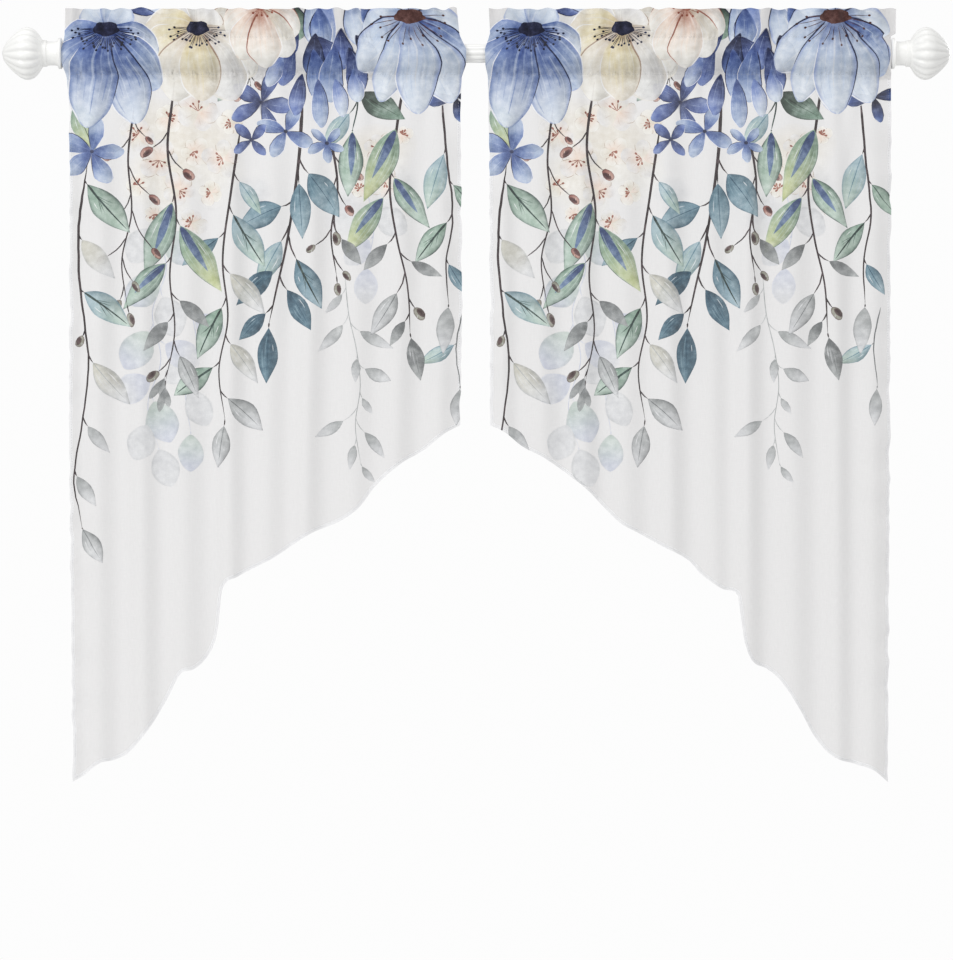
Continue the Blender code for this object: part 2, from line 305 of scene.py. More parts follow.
class ValanceStage(bpy.types.PropertyGroup):
    lens: bpy.props.FloatProperty(
        name="Lens", description="Focal length", default=135.0, subtype="DISTANCE_CAMERA")
    frame_height: size("Frame height", 1.1338, "Height that the picture takes in at the rod")
    frame_drop: size("Frame drop", 0.5037, "From the rod's axis down to the middle of the picture")
    floor_drop: size("Floor drop", 1.30, "From the rod's axis down to the floor")
    key: power("Key light", 60.0)
    fill: power("Fill light", 20.0)
    top: power("Top light", 24.0)
    back: power("Back light", 34.0)
    sky: share("Room light", 0.56, "Strength of the even light")


# ------------------------------------------------------------------ curves and the hung shape


def ease(value):
    value = np.clip(value, 0.0, 1.0)
    return value * value * (3 - 2 * value)


def arc(t, start, slope_in, end, slope_out):
    """The cubic from start to end that leaves and arrives with those slopes."""
    return (start * (2 * t**3 - 3 * t**2 + 1) + slope_in * (t**3 - 2 * t**2 + t)
            + end * (3 * t**2 - 2 * t**3) + slope_out * (t**3 - t**2))


def curve_through(x, knots, values):
    """A smooth curve through the knots, free to swing past them."""
    slopes = np.gradient(values, knots)
    index = np.clip(np.searchsorted(knots, x, side="right") - 1, 0, len(knots) - 2)
    span = knots[index + 1] - knots[index]
    t = (x - knots[index]) / span
    return arc(t, values[index], slopes[index] * span, values[index + 1], slopes[index + 1] * span)


def flowing(x, knots, values):
    """A smooth curve through the knots that never overshoots them."""
    knots, values = np.asarray(knots, float), np.asarray(values, float)
    index = np.clip(np.searchsorted(knots, x, side="right") - 1, 0, len(knots) - 2)
    before, after = np.maximum(index - 1, 0), np.minimum(index + 2, len(knots) - 1)
    span = knots[index + 1] - knots[index]
    t = (x - knots[index]) / span
    chord = values[index + 1] - values[index]
    slope_in = (values[index + 1] - values[before]) / (knots[index + 1] - knots[before]) * span
    slope_out = (values[after] - values[index]) / (knots[after] - knots[index]) * span
    turn = np.where(chord < 0, -1.0, 1.0)
    slope_in = turn * np.clip(turn * slope_in, 0.0, 3 * abs(chord))
    slope_out = turn * np.clip(turn * slope_out, 0.0, 3 * abs(chord))
    return arc(t, values[index], slope_in, values[index + 1], slope_out)


def inward(line):
    """Unit steps to the left of a line of (p, q) rows, evened out along it."""
    along = np.gradient(line, axis=0)
    for _ in range(6):
        along[1:-1] = (along[:-2] + 2 * along[1:-1] + along[2:]) / 4
    along /= np.linalg.norm(along, axis=1, keepdims=True)
    return np.stack([along[:, 1], -along[:, 0]], axis=1)


class Drape:
    """Where each place of one hung panel lies (mm).

    A place is given by p, from the panel's left edge as seen from the room, and q, down from the rod's
    axis. Facing is -1 for the front layer and 1 for the back layer of the heading and the pocket.
    """

    def __init__(self, side, cut):
        self.side = side
        self.cut = cut
        self.width = float(cut.hem[-1].across)
        rows = sorted(cut.edges)
        self.heights = [row.height for row in rows]
        self.inner = [row.inner for row in rows]
        self.outer = [row.outer for row in rows]
        self.longest = cut.hem[-1].drop

    def share(self, p):
        across = p / self.width
        return across if self.side > 0 else 1 - across

    def wave(self, share):
        turns = 2 * np.pi * share
        crowding = CROWDING * np.sin(CROWDINGS * turns + self.cut.phase)
        height = 1 - UNEVENNESS + UNEVENNESS * np.sin(UNEVEN_TURNS * turns + UNEVEN_START * self.cut.phase)
        return height * np.sin(GATHERS * turns + crowding + self.cut.phase)

    def hem(self, p):
        across = np.clip(self.share(p), 0.0, 1.0) * self.width
        return flowing(across, [row.across for row in self.cut.hem], [row.drop for row in self.cut.hem])

    def top(self, p):
        share = self.share(p)
        turns = 2 * np.pi * SCALLOPS_PER_GATHER * GATHERS * share + self.cut.phase
        strength = 0.45 + 0.35 * np.sin(23.0 * share + 2 * self.cut.phase) + 0.2 * np.sin(51.0 * share)
        drift = np.sin(1.5 * np.sin(17.0 * share + self.cut.phase) + 0.37 * turns)
        return -(HEADING_TOP + HEADING_SCALLOP * (strength * np.sin(turns) + 0.3 * drift))

    def hem_route(self, inset):
        """Down one side, along the bottom and up the other, that far inside the edge; rows are (p, q)."""
        p = np.arange(-abs(inset), self.width + abs(inset), ROUTE_STEP / 2)
        edge = np.stack([p, self.hem(p)], axis=1)
        bottom = edge + inward(edge) * inset
        bottom = bottom[(bottom[:, 0] > inset) & (bottom[:, 0] < self.width - inset)]
        sides = []
        for across, low in ((inset, bottom[0, 1]), (self.width - inset, bottom[-1, 1])):
            q = np.arange(-BOTTOM_STITCH + TAIL, low - 1, ROUTE_STEP)
            sides.append(np.stack([np.full(len(q), across), q], axis=1))
        return np.concatenate([sides[0], bottom, sides[1][::-1]])

    def folds(self, across, drop):
        total = 0.0
        for fold in self.cut.folds:
            middle = fold.across + fold.lean * drop / self.longest
            total = total + fold.depth * np.exp(-(((across - middle) / fold.width) ** 2))
        mean = sum(fold.depth for fold in self.cut.folds) / len(self.cut.folds)
        return (total - 0.5 * mean) * ease((drop + BOTTOM_STITCH) / FOLD_RISE)

    def heading_y(self, wave, p, q, facing):
        z = -q
        rise = (z - TOP_STITCH) / (HEADING_TOP - TOP_STITCH)
        ripple = GATHER_STITCH + (GATHER_TOP - GATHER_STITCH) * rise
        apart = (z - TOP_STITCH) / (-self.top(p) - TOP_STITCH)
        puff = LAYER_GAP * ease((1 - apart) * 8) + HEADING_PUFF * np.sin(np.pi * np.clip(apart, 0, 1))
        return -ripple * wave + facing * puff

    def pocket_y(self, wave, q, facing):
        rows = [(TOP_STITCH, LAYER_GAP, 0.0, 1.0), (POCKET_PEAK, 0.9, 0.0, STITCH_SLACK)]
        for row in POCKET:
            angle = math.radians(row.degrees)
            reach = row.radius * math.sin(angle) + POCKET_WALL
            rows.append((row.radius * math.cos(angle), reach, row.crest, 0.0))
        rows += [(POCKET_FOOT, 0.9, 0.0, STITCH_SLACK), (BOTTOM_STITCH, LAYER_GAP, 0.0, 1.0)]
        heights, reach, crest, slack = zip(*sorted(rows))
        z = np.clip(-q, BOTTOM_STITCH, TOP_STITCH)
        swell = POCKET_CREST * (0.5 - 0.5 * facing * wave)
        out = flowing(z, heights, reach) + flowing(z, heights, crest) * swell
        return facing * out - GATHER_STITCH * wave * flowing(z, heights, slack)

    def body_y(self, wave, p, q, facing):
        part = (q + BOTTOM_STITCH) / (self.hem(p) + BOTTOM_STITCH)
        swell = np.sin(np.pi * np.clip(part / SWELL_END, 0, 1))
        ripple = GATHER_STITCH * (1 + GATHER_SWELL * swell) * (1 - ease((q + BOTTOM_STITCH) / GATHER_FADE))
        start = facing * LAYER_GAP * (1 - ease((q + BOTTOM_STITCH) / 3.0))
        return start - ripple * wave - self.folds(self.share(p) * self.width, q)

    def place(self, p, q, facing=-1):
        """The place in space, as an array of (x, y, z) in mm."""
        p, q = np.asarray(p, float), np.asarray(q, float)
        share = self.share(p)
        wave = self.wave(share)
        z = -q
        bounds = [z >= TOP_STITCH, z > BOTTOM_STITCH]
        layers = [self.heading_y(wave, p, q, facing), self.pocket_y(wave, q, facing)]
        y = np.select(bounds, layers, self.body_y(wave, p, q, facing))
        near = np.exp(-np.minimum(abs(z - TOP_STITCH), abs(z - BOTTOM_STITCH)) / PUCKER_REACH)
        y = y + PUCKER * near * np.sin(2 * np.pi * PUCKERS * share + 3 * wave)
        inner, outer = np.interp(z, self.heights, self.inner), np.interp(z, self.heights, self.outer)
        past = np.maximum(outer - RING_SIDE, 0) * (1 - ease((abs(z) - RING_REACH) / TUCK))
        x = self.side * (inner + (outer - inner) * share - past * ease(1 - (1 - share) / TUCK_SHARE))
        free = ease((q - 40) / 60) * EDGE_WAVE
        for edge, turn in ((0.0, 0.3), (self.width, 2.1)):
            loose = free * np.exp(-abs(p - edge) / EDGE_WAVE_REACH)
            swing = 2 * np.pi * q / EDGE_WAVE_LENGTH + turn + self.cut.phase
            swing = swing + 1.3 * np.sin(0.31 * swing)
            strength = 0.5 + 0.5 * np.sin(0.23 * swing + turn)
            x = x + loose * (strength * np.sin(swing) + 0.4 * np.sin(2.3 * swing))
            y = y + 1.5 * loose * np.cos(0.8 * swing)
        return np.stack([x, y, z], axis=-1)

    def normal(self, p, q, facing=-1):
        """Which way the cloth faces there, out of the given layer."""
        step = 0.4
        right = self.place(p + step, q, facing) - self.place(p - step, q, facing)
        down = self.place(p, q + step, facing) - self.place(p, q - step, facing)
        out = np.cross(right, down)
        out /= np.linalg.norm(out, axis=-1, keepdims=True)
        return out * facing * np.where(out[..., 1:2] < 0, -1.0, 1.0)


# ------------------------------------------------------------------ shapes of the print


def way(degrees):
    """A step of length 1 in (p, q); 0 is straight down and 90 to the right."""
    turn = math.radians(degrees)
    return np.array([math.sin(turn), math.cos(turn)])


def aside(step):
    """The same step turned a quarter to its left."""
    return np.array([step[1], -step[0]])


class Blade:
    """A leaf or a petal: an outline about a bent middle line (mm, degrees from straight down)."""

    def __init__(self, root, angle, length, width, bend, belly, blunt, wave=0.0, phase=0.0):
        self.root = np.array(root, float)
        self.along = way(angle)
        self.across = aside(self.along)
        self.length, self.half_width, self.bend = length, width / 2, bend
        self.belly = math.log(0.5) / math.log(belly)
        self.blunt, self.wave, self.phase = blunt, wave, phase

    def half(self, t, sign):
        t = np.clip(t, 0.0, 1.0)
        ripple = np.sin(8.3 * t + self.phase + 1.9 * sign) + 0.6 * np.sin(17.1 * t + 2.3 * self.phase + sign)
        arch = np.sin(np.pi * t**self.belly) ** self.blunt
        return self.half_width * arch * (1 + self.wave * ripple * (0.3 + t))

    def at(self, t, e):
        """Places at t along and e across, each as shares; e is -1 and 1 on the outline."""
        t, e = np.asarray(t, float), np.asarray(e, float)
        v = self.bend * t**2 + e * self.half(t, np.sign(e))
        return self.root + np.outer(t * self.length, self.along) + np.outer(v, self.across)

    def shares(self, places):
        offset = places - self.root
        t = np.clip(offset @ self.along / self.length, 0.0, 1.0)
        v = offset @ self.across - self.bend * t**2
        return t, np.clip(v / np.maximum(self.half(t, np.sign(v)), 0.05), -1.0, 1.0)

    def loops(self):
        steps = int(np.clip(self.length / BLADE_STEP, 5, 24))
        made = []
        for reach, inset in ((1.0, 0.0), (0.78, 0.05)):
            t = inset + (1 - 2 * inset) * (0.5 - 0.5 * np.cos(np.pi * np.arange(steps + 1) / steps))
            right = self.at(t, np.full(len(t), reach))
            left = self.at(t, np.full(len(t), -reach))
            if reach == 1.0:
                left = left[1:-1]
            made.append(np.concatenate([right, left[::-1]]))
            if self.half_width < NARROW:
                break
        return made


class Blob:
    """A soft round wash or a berry: a lobed ellipse (mm, degrees)."""

    def __init__(self, middle, wide, tall, angle, lobes=3, lobing=0.06, phase=0.0):
        self.middle = np.array(middle, float)
        turn = math.radians(angle)
        self.axes = np.array([[math.cos(turn), math.sin(turn)], [-math.sin(turn), math.cos(turn)]])
        self.radii = np.array([wide / 2, tall / 2])
        self.lobes, self.lobing, self.phase = lobes, lobing, phase

    def reach(self, angle):
        wobble = np.sin(self.lobes * angle + self.phase) + 0.5 * np.sin((self.lobes + 3) * angle - self.phase)
        return 1 + self.lobing * wobble

    def shares(self, places):
        offset = (places - self.middle) @ self.axes.T / self.radii
        angle = np.arctan2(offset[:, 1], offset[:, 0])
        e = np.linalg.norm(offset, axis=1) / self.reach(angle)
        t = 0.5 + 0.5 * offset[:, 1]
        return np.clip(t, 0, 1), np.clip(e, 0, 1)

    def loops(self):
        steps = int(np.clip(self.radii.max() * BLOB_STEPS, 8, 40))
        angle = 2 * np.pi * np.arange(steps) / steps
        ring = np.stack([np.cos(angle), np.sin(angle)], axis=1) * self.reach(angle)[:, None] * self.radii
        made = []
        for scale in (1.0, 0.8, 0.4):
            made.append(self.middle + scale * ring @ self.axes)
            if self.radii.min() < SMALL:
                break
        return made


class Patch:
    """A shape of one even colour inside a closed outline (mm)."""

    def __init__(self, outline):
        self.outline = outline

    def shares(self, places):
        return np.zeros(len(places)), np.zeros(len(places))

    def loops(self):
        return [self.outline]


class Stroke(Patch):
    """A drawn line that tapers: its route (mm) and its widths at the start and the end."""

    def __init__(self, route, start, end):
        route = np.asarray(route, float)
        lengths = np.r_[0, np.cumsum(np.linalg.norm(np.diff(route, axis=0), axis=1))]
        steps = int(np.clip(lengths[-1] / STROKE_STEP, 3, 48))
        s = np.linspace(0, lengths[-1], steps + 1)
        line = np.stack([curve_through(s, lengths, route[:, axis]) for axis in (0, 1)], axis=1)
        along = np.gradient(line, axis=0)
        along /= np.linalg.norm(along, axis=1, keepdims=True)
        side = np.stack([along[:, 1], -along[:, 0]], axis=1)
        t = np.linspace(0, 1, steps + 1)
        half = 0.5 * (start + (end - start) * t) * np.minimum(1, np.minimum(t, 1 - t) * 8 + 0.25)
        self.line = line
        super().__init__(np.concatenate([line + side * half[:, None], (line - side * half[:, None])[::-1]]))


def hem_band(drape, width):
    """The band along the sides and the bottom where the hem lies double."""
    return Patch(np.concatenate([drape.hem_route(width), drape.hem_route(-HEM_OVERLAP)[::-1]]))


Paint = namedtuple("Paint", "base tip rim cover rimming shade fade soft", defaults=(1.0, 0.4, 0.0, 0.0, 0.0))
Layer = namedtuple("Layer", "shape paint")
Tone = namedtuple("Tone", "base tip rim vein light")

TONES = {
    "night": Tone("navy", "blue", "navy", "navy", "periwinkle"),
    "deep": Tone("indigo", "periwinkle", "indigo", "navy", "sky"),
    "fade": Tone("blue", "ice", "blue", "indigo", "ice"),
    "blue": Tone("blue", "sky", "periwinkle", "indigo", "ice"),
    "light": Tone("periwinkle", "ice", "periwinkle", "blue", "ice"),
    "pale": Tone("sky", "ice", "periwinkle", "indigo", "cloth"),
    "cream": Tone("cream", "petal_white", "cream", "line", "cloth"),
    "butter": Tone("butter", "cream", "cream", "line", "cloth"),
    "peach": Tone("peach", "petal_white", "peach", "rust", "cloth"),
    "white": Tone("petal_white", "cloth", "cream", "line", "cloth"),
    "sage": Tone("sage", "mint", "leaf_line", "leaf_line", "mint"),
    "olive": Tone("sage", "olive", "sage", "leaf_line", "mint"),
    "teal": Tone("teal", "teal_pale", "teal_dark", "teal_dark", "teal_pale"),
    "ocean": Tone("teal_dark", "teal", "teal_dark", "teal_dark", "teal_pale"),
    "aqua": Tone("teal_pale", "mint", "teal", "teal", "mint"),
    "warm": Tone("warm", "mist", "grey", "grey", "mist"),
    "grey": Tone("grey", "mist", "ash", "ash", "mist"),
    "ash": Tone("ash", "grey", "ash", "ash", "mist"),
    "faint": Tone("mist", "mist", "grey", "grey", "cloth"),
    "beige": Tone("cream", "petal_white", "cream", "cream", "cloth"),
    "lilac": Tone("lilac", "mist", "lilac", "lilac", "cloth"),
    "pine": Tone("pine", "sage", "pine", "pine", "sage"),
    "dew": Tone("dew", "lilac", "grey", "dew", "cloth"),
    "berry": Tone("berry", "rose", "berry_dark", "berry_dark", "cream"),
    "hip": Tone("hip", "hip", "berry_dark", "berry_dark", "mist"),
}

# The print's own layout, in mm from a panel's left edge and down from the rod's axis
Petal = namedtuple("Petal", "angle length width bend tone")
Bloom = namedtuple("Bloom", "middle petals eye stamens dark line")
BLOOMS = [
    Bloom((154, -30), [
        Petal(-96, 62, 52, 10, "butter"), Petal(92, 54, 54, -8, "cream"), Petal(150, 30, 50, 0, "white"),
        Petal(-58, 80, 58, 6, "butter"), Petal(56, 84, 58, -8, "cream"), Petal(-24, 92, 56, 4, "cream"),
        Petal(28, 94, 56, -4, "white"), Petal(0, 86, 48, 2, "butter"),
    ], (26, 17), 26, "navy", "line"),
    Bloom((228, -54), [
        Petal(-60, 50, 40, 4, "peach"), Petal(60, 52, 40, -4, "peach"), Petal(-26, 68, 42, 3, "peach"),
        Petal(28, 66, 42, -3, "cream"), Petal(2, 72, 40, 0, "peach"),
    ], (12, 7), 7, "rust", "rust"),
    Bloom((48, -29), [
        Petal(-140, 36, 44, 0, "pale"), Petal(146, 38, 46, 0, "pale"), Petal(-74, 60, 44, 10, "blue"),
        Petal(72, 68, 44, -10, "fade"), Petal(-46, 92, 52, 12, "fade"), Petal(48, 90, 50, -12, "blue"),
        Petal(20, 116, 52, -8, "fade"), Petal(-18, 120, 56, 8, "fade"),
    ], (30, 17), 34, "navy", "navy"),
    Bloom((400, -44), [
        Petal(-125, 34, 42, 0, "pale"), Petal(128, 40, 46, 0, "pale"), Petal(-82, 58, 44, 10, "pale"),
        Petal(80, 66, 46, -10, "pale"), Petal(-52, 90, 50, 10, "pale"), Petal(50, 92, 52, -12, "blue"),
        Petal(-24, 108, 40, 6, "pale"), Petal(28, 112, 48, -6, "pale"), Petal(2, 116, 50, 3, "pale"),
    ], (36, 17), 14, "brown", "navy"),
]

Spur = namedtuple("Spur", "p q angle length width bend tone")
CLUSTER = [
    Spur(66, -56, 84, 56, 24, 12, "deep"), Spur(86, -66, 66, 46, 24, 8, "pale"),
    Spur(256, -62, 24, 48, 34, -5, "pine"), Spur(262, -64, -14, 50, 26, 3, "light"),
    Spur(284, -66, 12, 60, 30, -4, "pale"), Spur(308, -66, -16, 62, 32, 4, "light"),
    Spur(330, -64, 16, 60, 30, -4, "pale"), Spur(296, -54, 0, 50, 26, 0, "blue"),
    Spur(346, -58, 26, 48, 24, 0, "blue"), Spur(270, -26, -40, 42, 22, 6, "deep"),
    Spur(290, -24, -12, 54, 26, 4, "night"), Spur(292, -20, 38, 48, 24, -6, "deep"),
    Spur(320, -30, -8, 50, 26, 3, "deep"), Spur(336, -22, 22, 44, 24, -4, "night"),
    Spur(262, -8, -22, 48, 24, 4, "deep"), Spur(284, -4, 8, 62, 26, 2, "blue"),
    Spur(308, -8, -6, 66, 28, 3, "blue"), Spur(324, -6, 20, 58, 26, -6, "deep"),
    Spur(272, 24, -14, 50, 20, 3, "deep"), Spur(290, 30, 4, 58, 20, 0, "blue"),
    Spur(310, 30, 16, 46, 18, -3, "light"), Spur(250, 6, -34, 38, 18, 3, "light"),
    Spur(330, 18, 6, 40, 20, 3, "light"),
]

Floret = namedtuple("Floret", "p q size turn tone petals", defaults=(5,))
FLORETS = [
    Floret(26, 116, 42, 20, "blue"), Floret(224, 58, 38, 12, "deep"), Floret(252, 92, 34, -28, "blue", 4),
    Floret(212, 102, 28, 40, "deep", 4), Floret(450, 52, 36, 15, "night", 4),
    Floret(300, 106, 26, 70, "blue"),
]
BLOSSOMS = [
    Floret(80, 96, 38, 5, "white"), Floret(116, 76, 34, 34, "cream"), Floret(150, 68, 46, 12, "white"),
    Floret(188, 82, 32, 48, "cream"), Floret(104, 126, 46, 22, "white"), Floret(144, 116, 34, -12, "cream"),
    Floret(178, 124, 42, 30, "white"), Floret(80, 156, 28, 40, "cream"), Floret(128, 162, 40, 8, "white"),
    Floret(164, 164, 30, 52, "cream"), Floret(142, 200, 32, 0, "white"), Floret(98, 190, 24, 25, "cream"),
    Floret(332, 126, 30, 10, "cream"), Floret(360, 112, 40, -20, "white"), Floret(388, 96, 24, 30, "cream"),
    Floret(368, 152, 34, 12, "white"), Floret(338, 160, 24, 44, "cream"), Floret(396, 182, 22, 5, "white"),
]

Wash = namedtuple("Wash", "p q wide tall angle tone")
WASHES = [
    Wash(112, 96, 120, 96, 10, "beige"), Wash(158, 122, 110, 110, -20, "beige"),
    Wash(104, 156, 90, 90, 30, "beige"), Wash(352, 128, 104, 96, -12, "beige"),
    Wash(372, 160, 60, 70, 20, "faint"), Wash(214, 168, 44, 50, 12, "faint"),
    Wash(322, 190, 50, 60, 20, "faint"),
]

Leaf = namedtuple("Leaf", "share turn stalk length width bend kind tone")
Spray = namedtuple("Spray", "route start end colour leaves")


def berry(share, turn, stalk, kind="berry", tone="berry"):
    return Leaf(share, turn, stalk, 0, 0, 0, kind, tone)


def hip(share, turn, stalk):
    return berry(share, turn, stalk, tone="hip")


def bud(share, turn, stalk):
    return berry(share, turn, stalk, "bud", "ash")


def disc(share, turn, stalk, length, width, tone):
    """A round pale leaf."""
    return Leaf(share, turn, stalk, length, width, 0, "round", tone)


SPRAYS = [
    Spray([(20, 132), (10, 208), (13, 290), (22, 366), (15, 436), (5, 506), (14, 560)], 3.2, 1.5, "bark", [
        Leaf(0.04, 46, 6, 76, 32, 5, "veined", "sage"), Leaf(0.19, 38, 8, 60, 25, 4, "soft", "warm"),
        Leaf(0.34, 52, 6, 68, 29, -4, "veined", "aqua"), hip(0.45, -34, 10),
        Leaf(0.52, 32, 12, 66, 26, 5, "plain", "warm"), Leaf(0.69, 42, 14, 40, 15, 3, "soft", "grey"),
        Leaf(0.84, 34, 8, 42, 17, 2, "soft", "grey"), Leaf(1.00, 16, 2, 46, 22, 3, "plain", "grey"),
    ]),
    Spray([(4, 46), (6, 56)], 1.8, 1.2, "leaf_line", [Leaf(1.00, 8, 2, 64, 28, 3, "plain", "olive")]),
    Spray([(76, 60), (68, 124), (72, 188), (60, 246), (66, 296)], 2.8, 1.3, "bark", [
        berry(0.06, 52, 30), berry(0.16, -48, 28), berry(0.30, 44, 46), hip(0.44, -40, 26),
        berry(0.52, 38, 54), hip(0.66, -36, 34), hip(0.76, 40, 34), hip(0.90, -30, 20), hip(1.00, 8, 12),
    ]),
    Spray([(124, 34), (114, 110), (124, 190), (116, 262), (122, 330), (112, 386)], 3.4, 1.4, "bark", [
        berry(0.16, -46, 30), berry(0.22, 46, 34), Leaf(0.37, -28, 12, 90, 32, -4, "streak", "sage"),
        Leaf(0.45, 30, 12, 92, 32, 4, "streak", "olive"), Leaf(0.58, -36, 12, 74, 26, 3, "streak", "sage"),
        Leaf(0.70, 46, 16, 46, 17, -4, "soft", "ash"), Leaf(0.77, -50, 14, 44, 17, 3, "soft", "ash"),
        Leaf(0.86, 34, 22, 54, 20, -3, "plain", "grey"), hip(0.92, -36, 24), bud(0.96, -12, 12),
        bud(1.00, 8, 8),
    ]),
    Spray([(200, 84), (188, 166), (178, 246), (184, 316), (174, 374), (182, 432)], 3.2, 1.4, "bark", [
        Leaf(0.16, 46, 14, 46, 17, -4, "plain", "aqua"), Leaf(0.27, 36, 14, 72, 30, 4, "veined", "aqua"),
        Leaf(0.36, -46, 12, 54, 20, 2, "plain", "teal"), Leaf(0.47, 44, 16, 62, 25, -4, "plain", "warm"),
        Leaf(0.58, -38, 16, 66, 28, 6, "veined", "sage"), Leaf(0.71, 50, 14, 56, 22, -3, "plain", "warm"),
        Leaf(0.80, -48, 12, 56, 26, 3, "veined", "sage"), Leaf(0.90, 42, 14, 56, 26, -4, "plain", "grey"),
        Leaf(1.00, -20, 8, 50, 22, 2, "plain", "grey"),
    ]),
    Spray([(272, 44), (268, 116), (260, 178), (250, 236), (240, 280), (232, 318)], 4.6, 1.8, "bark", [
        Leaf(0.28, 44, 24, 62, 33, -4, "plain", "teal"), Leaf(0.31, 10, 24, 66, 25, 0, "plain", "teal"),
        Leaf(0.46, -62, 18, 56, 30, 6, "plain", "teal"), Leaf(0.56, -20, 26, 64, 24, 2, "plain", "aqua"),
        Leaf(0.61, 34, 32, 66, 28, 3, "veined", "teal"), Leaf(0.73, -40, 18, 58, 24, 6, "plain", "ocean"),
        Leaf(0.79, 48, 20, 56, 23, -4, "plain", "ocean"), Leaf(0.92, -36, 14, 44, 19, 3, "plain", "ocean"),
        Leaf(1.00, 10, 6, 66, 24, 0, "plain", "ocean"),
    ]),
    Spray([(332, 30), (336, 60), (330, 90)], 2.4, 1.4, "leaf_line", [
        Leaf(1.00, 10, 2, 78, 29, -2, "streak", "sage"), Leaf(0.4, -40, 20, 52, 22, 3, "plain", "aqua"),
        Leaf(0.20, 46, 6, 62, 30, 4, "plain", "pine"),
    ]),
    Spray([(214, -4), (210, 16), (212, 36)], 2.0, 1.2, "bark", [
        berry(0.60, 34, 16), berry(1.00, -8, 8), berry(0.80, -46, 22),
        Leaf(0.30, -28, 4, 58, 28, 3, "plain", "sage"),
    ]),
    Spray([(304, 96), (312, 160), (304, 214), (310, 262)], 3.2, 1.4, "bark", [
        berry(0.14, 46, 30), berry(0.28, -38, 28), berry(0.38, 36, 24), hip(0.54, 20, 26),
        Leaf(0.60, 44, 26, 38, 16, 2, "soft", "ash"), hip(0.66, -44, 30), hip(0.84, 28, 26),
        hip(1.00, -4, 10),
    ]),
    Spray([(390, 30), (380, 100), (373, 156), (381, 220), (392, 270), (396, 330)], 3.6, 1.5, "bark", [
        Leaf(0.18, -14, 6, 94, 33, -3, "streak", "olive"), Leaf(0.36, 38, 10, 72, 26, 4, "streak", "sage"),
        Leaf(0.42, -38, 16, 80, 28, 6, "streak", "olive"), Leaf(0.60, -56, 18, 42, 16, 3, "soft", "ash"),
        Leaf(0.68, 46, 18, 40, 14, 3, "soft", "ash"), Leaf(0.76, -42, 28, 58, 23, -2, "plain", "grey"),
        hip(0.86, 34, 16), Leaf(0.92, -36, 12, 34, 13, 2, "soft", "ash"),
        Leaf(1.00, 10, 6, 52, 20, 0, "plain", "ash"),
    ]),
    Spray([(434, 50), (440, 126), (446, 192), (438, 250), (440, 296)], 3.0, 1.4, "bark", [
        Leaf(0.24, -24, 10, 68, 27, 3, "plain", "aqua"), Leaf(0.40, 34, 8, 50, 20, -3, "plain", "sage"),
        Leaf(0.56, -42, 14, 60, 24, 3, "veined", "sage"), Leaf(0.78, 36, 8, 42, 17, 2, "plain", "teal"),
        Leaf(1.00, -10, 4, 56, 21, 2, "soft", "grey"),
    ]),
    Spray([(320, 262), (324, 306), (334, 350), (339, 392), (334, 440), (340, 484)], 1.2, 0.8, "grey", [
        Leaf(0.06, -40, 10, 30, 10, -3, "soft", "grey"), Leaf(0.20, -46, 16, 42, 14, -4, "soft", "grey"),
        Leaf(0.25, 44, 16, 44, 14, 4, "soft", "grey"), Leaf(0.42, -16, 6, 28, 11, 2, "soft", "grey"),
        Leaf(0.47, 52, 10, 34, 16, 3, "soft", "grey"), Leaf(0.62, 30, 8, 22, 9, 2, "soft", "grey"),
        Leaf(0.70, -46, 24, 38, 13, -3, "soft", "grey"), Leaf(0.76, 46, 20, 38, 13, -3, "soft", "grey"),
        Leaf(0.86, -22, 10, 30, 11, 2, "soft", "grey"), Leaf(1.00, 20, 4, 24, 9, 4, "soft", "grey"),
    ]),
    Spray([(458, 300), (450, 344), (455, 392)], 1.8, 1.1, "ash", [
        Leaf(0.45, -50, 4, 46, 18, -5, "plain", "aqua"), Leaf(1.00, -14, 4, 44, 16, 2, "soft", "grey"),
    ]),
    Spray([(96, 204), (112, 250), (96, 306), (106, 362), (92, 416), (104, 466)], 1.3, 0.9, "lilac", [
        disc(0.00, -52, 4, 46, 38, "faint"), disc(0.04, 42, 8, 50, 40, "dew"),
        disc(0.22, -46, 10, 48, 38, "dew"), disc(0.28, 44, 12, 50, 38, "faint"),
        disc(0.44, -42, 12, 52, 40, "dew"), disc(0.50, 42, 14, 46, 34, "lilac"),
        disc(0.66, -44, 12, 46, 36, "lilac"), disc(0.74, 40, 14, 52, 38, "dew"),
        disc(0.86, -30, 10, 44, 34, "faint"), disc(1.00, 4, 2, 46, 34, "faint"),
    ]),
    Spray([(140, 296), (148, 350), (136, 404), (142, 446)], 1.2, 0.9, "lilac", [
        disc(0.05, 40, 8, 42, 30, "lilac"), disc(0.40, -38, 8, 40, 28, "faint"),
        disc(0.62, 40, 10, 46, 32, "faint"), disc(1.00, -10, 4, 44, 30, "dew"),
    ]),
    Spray([(346, 160), (354, 206), (346, 250)], 1.2, 0.9, "lilac", [
        disc(0.20, 40, 10, 44, 34, "faint"), disc(0.60, -36, 8, 40, 28, "lilac"),
        disc(1.00, 8, 4, 42, 28, "lilac"),
    ]),
]


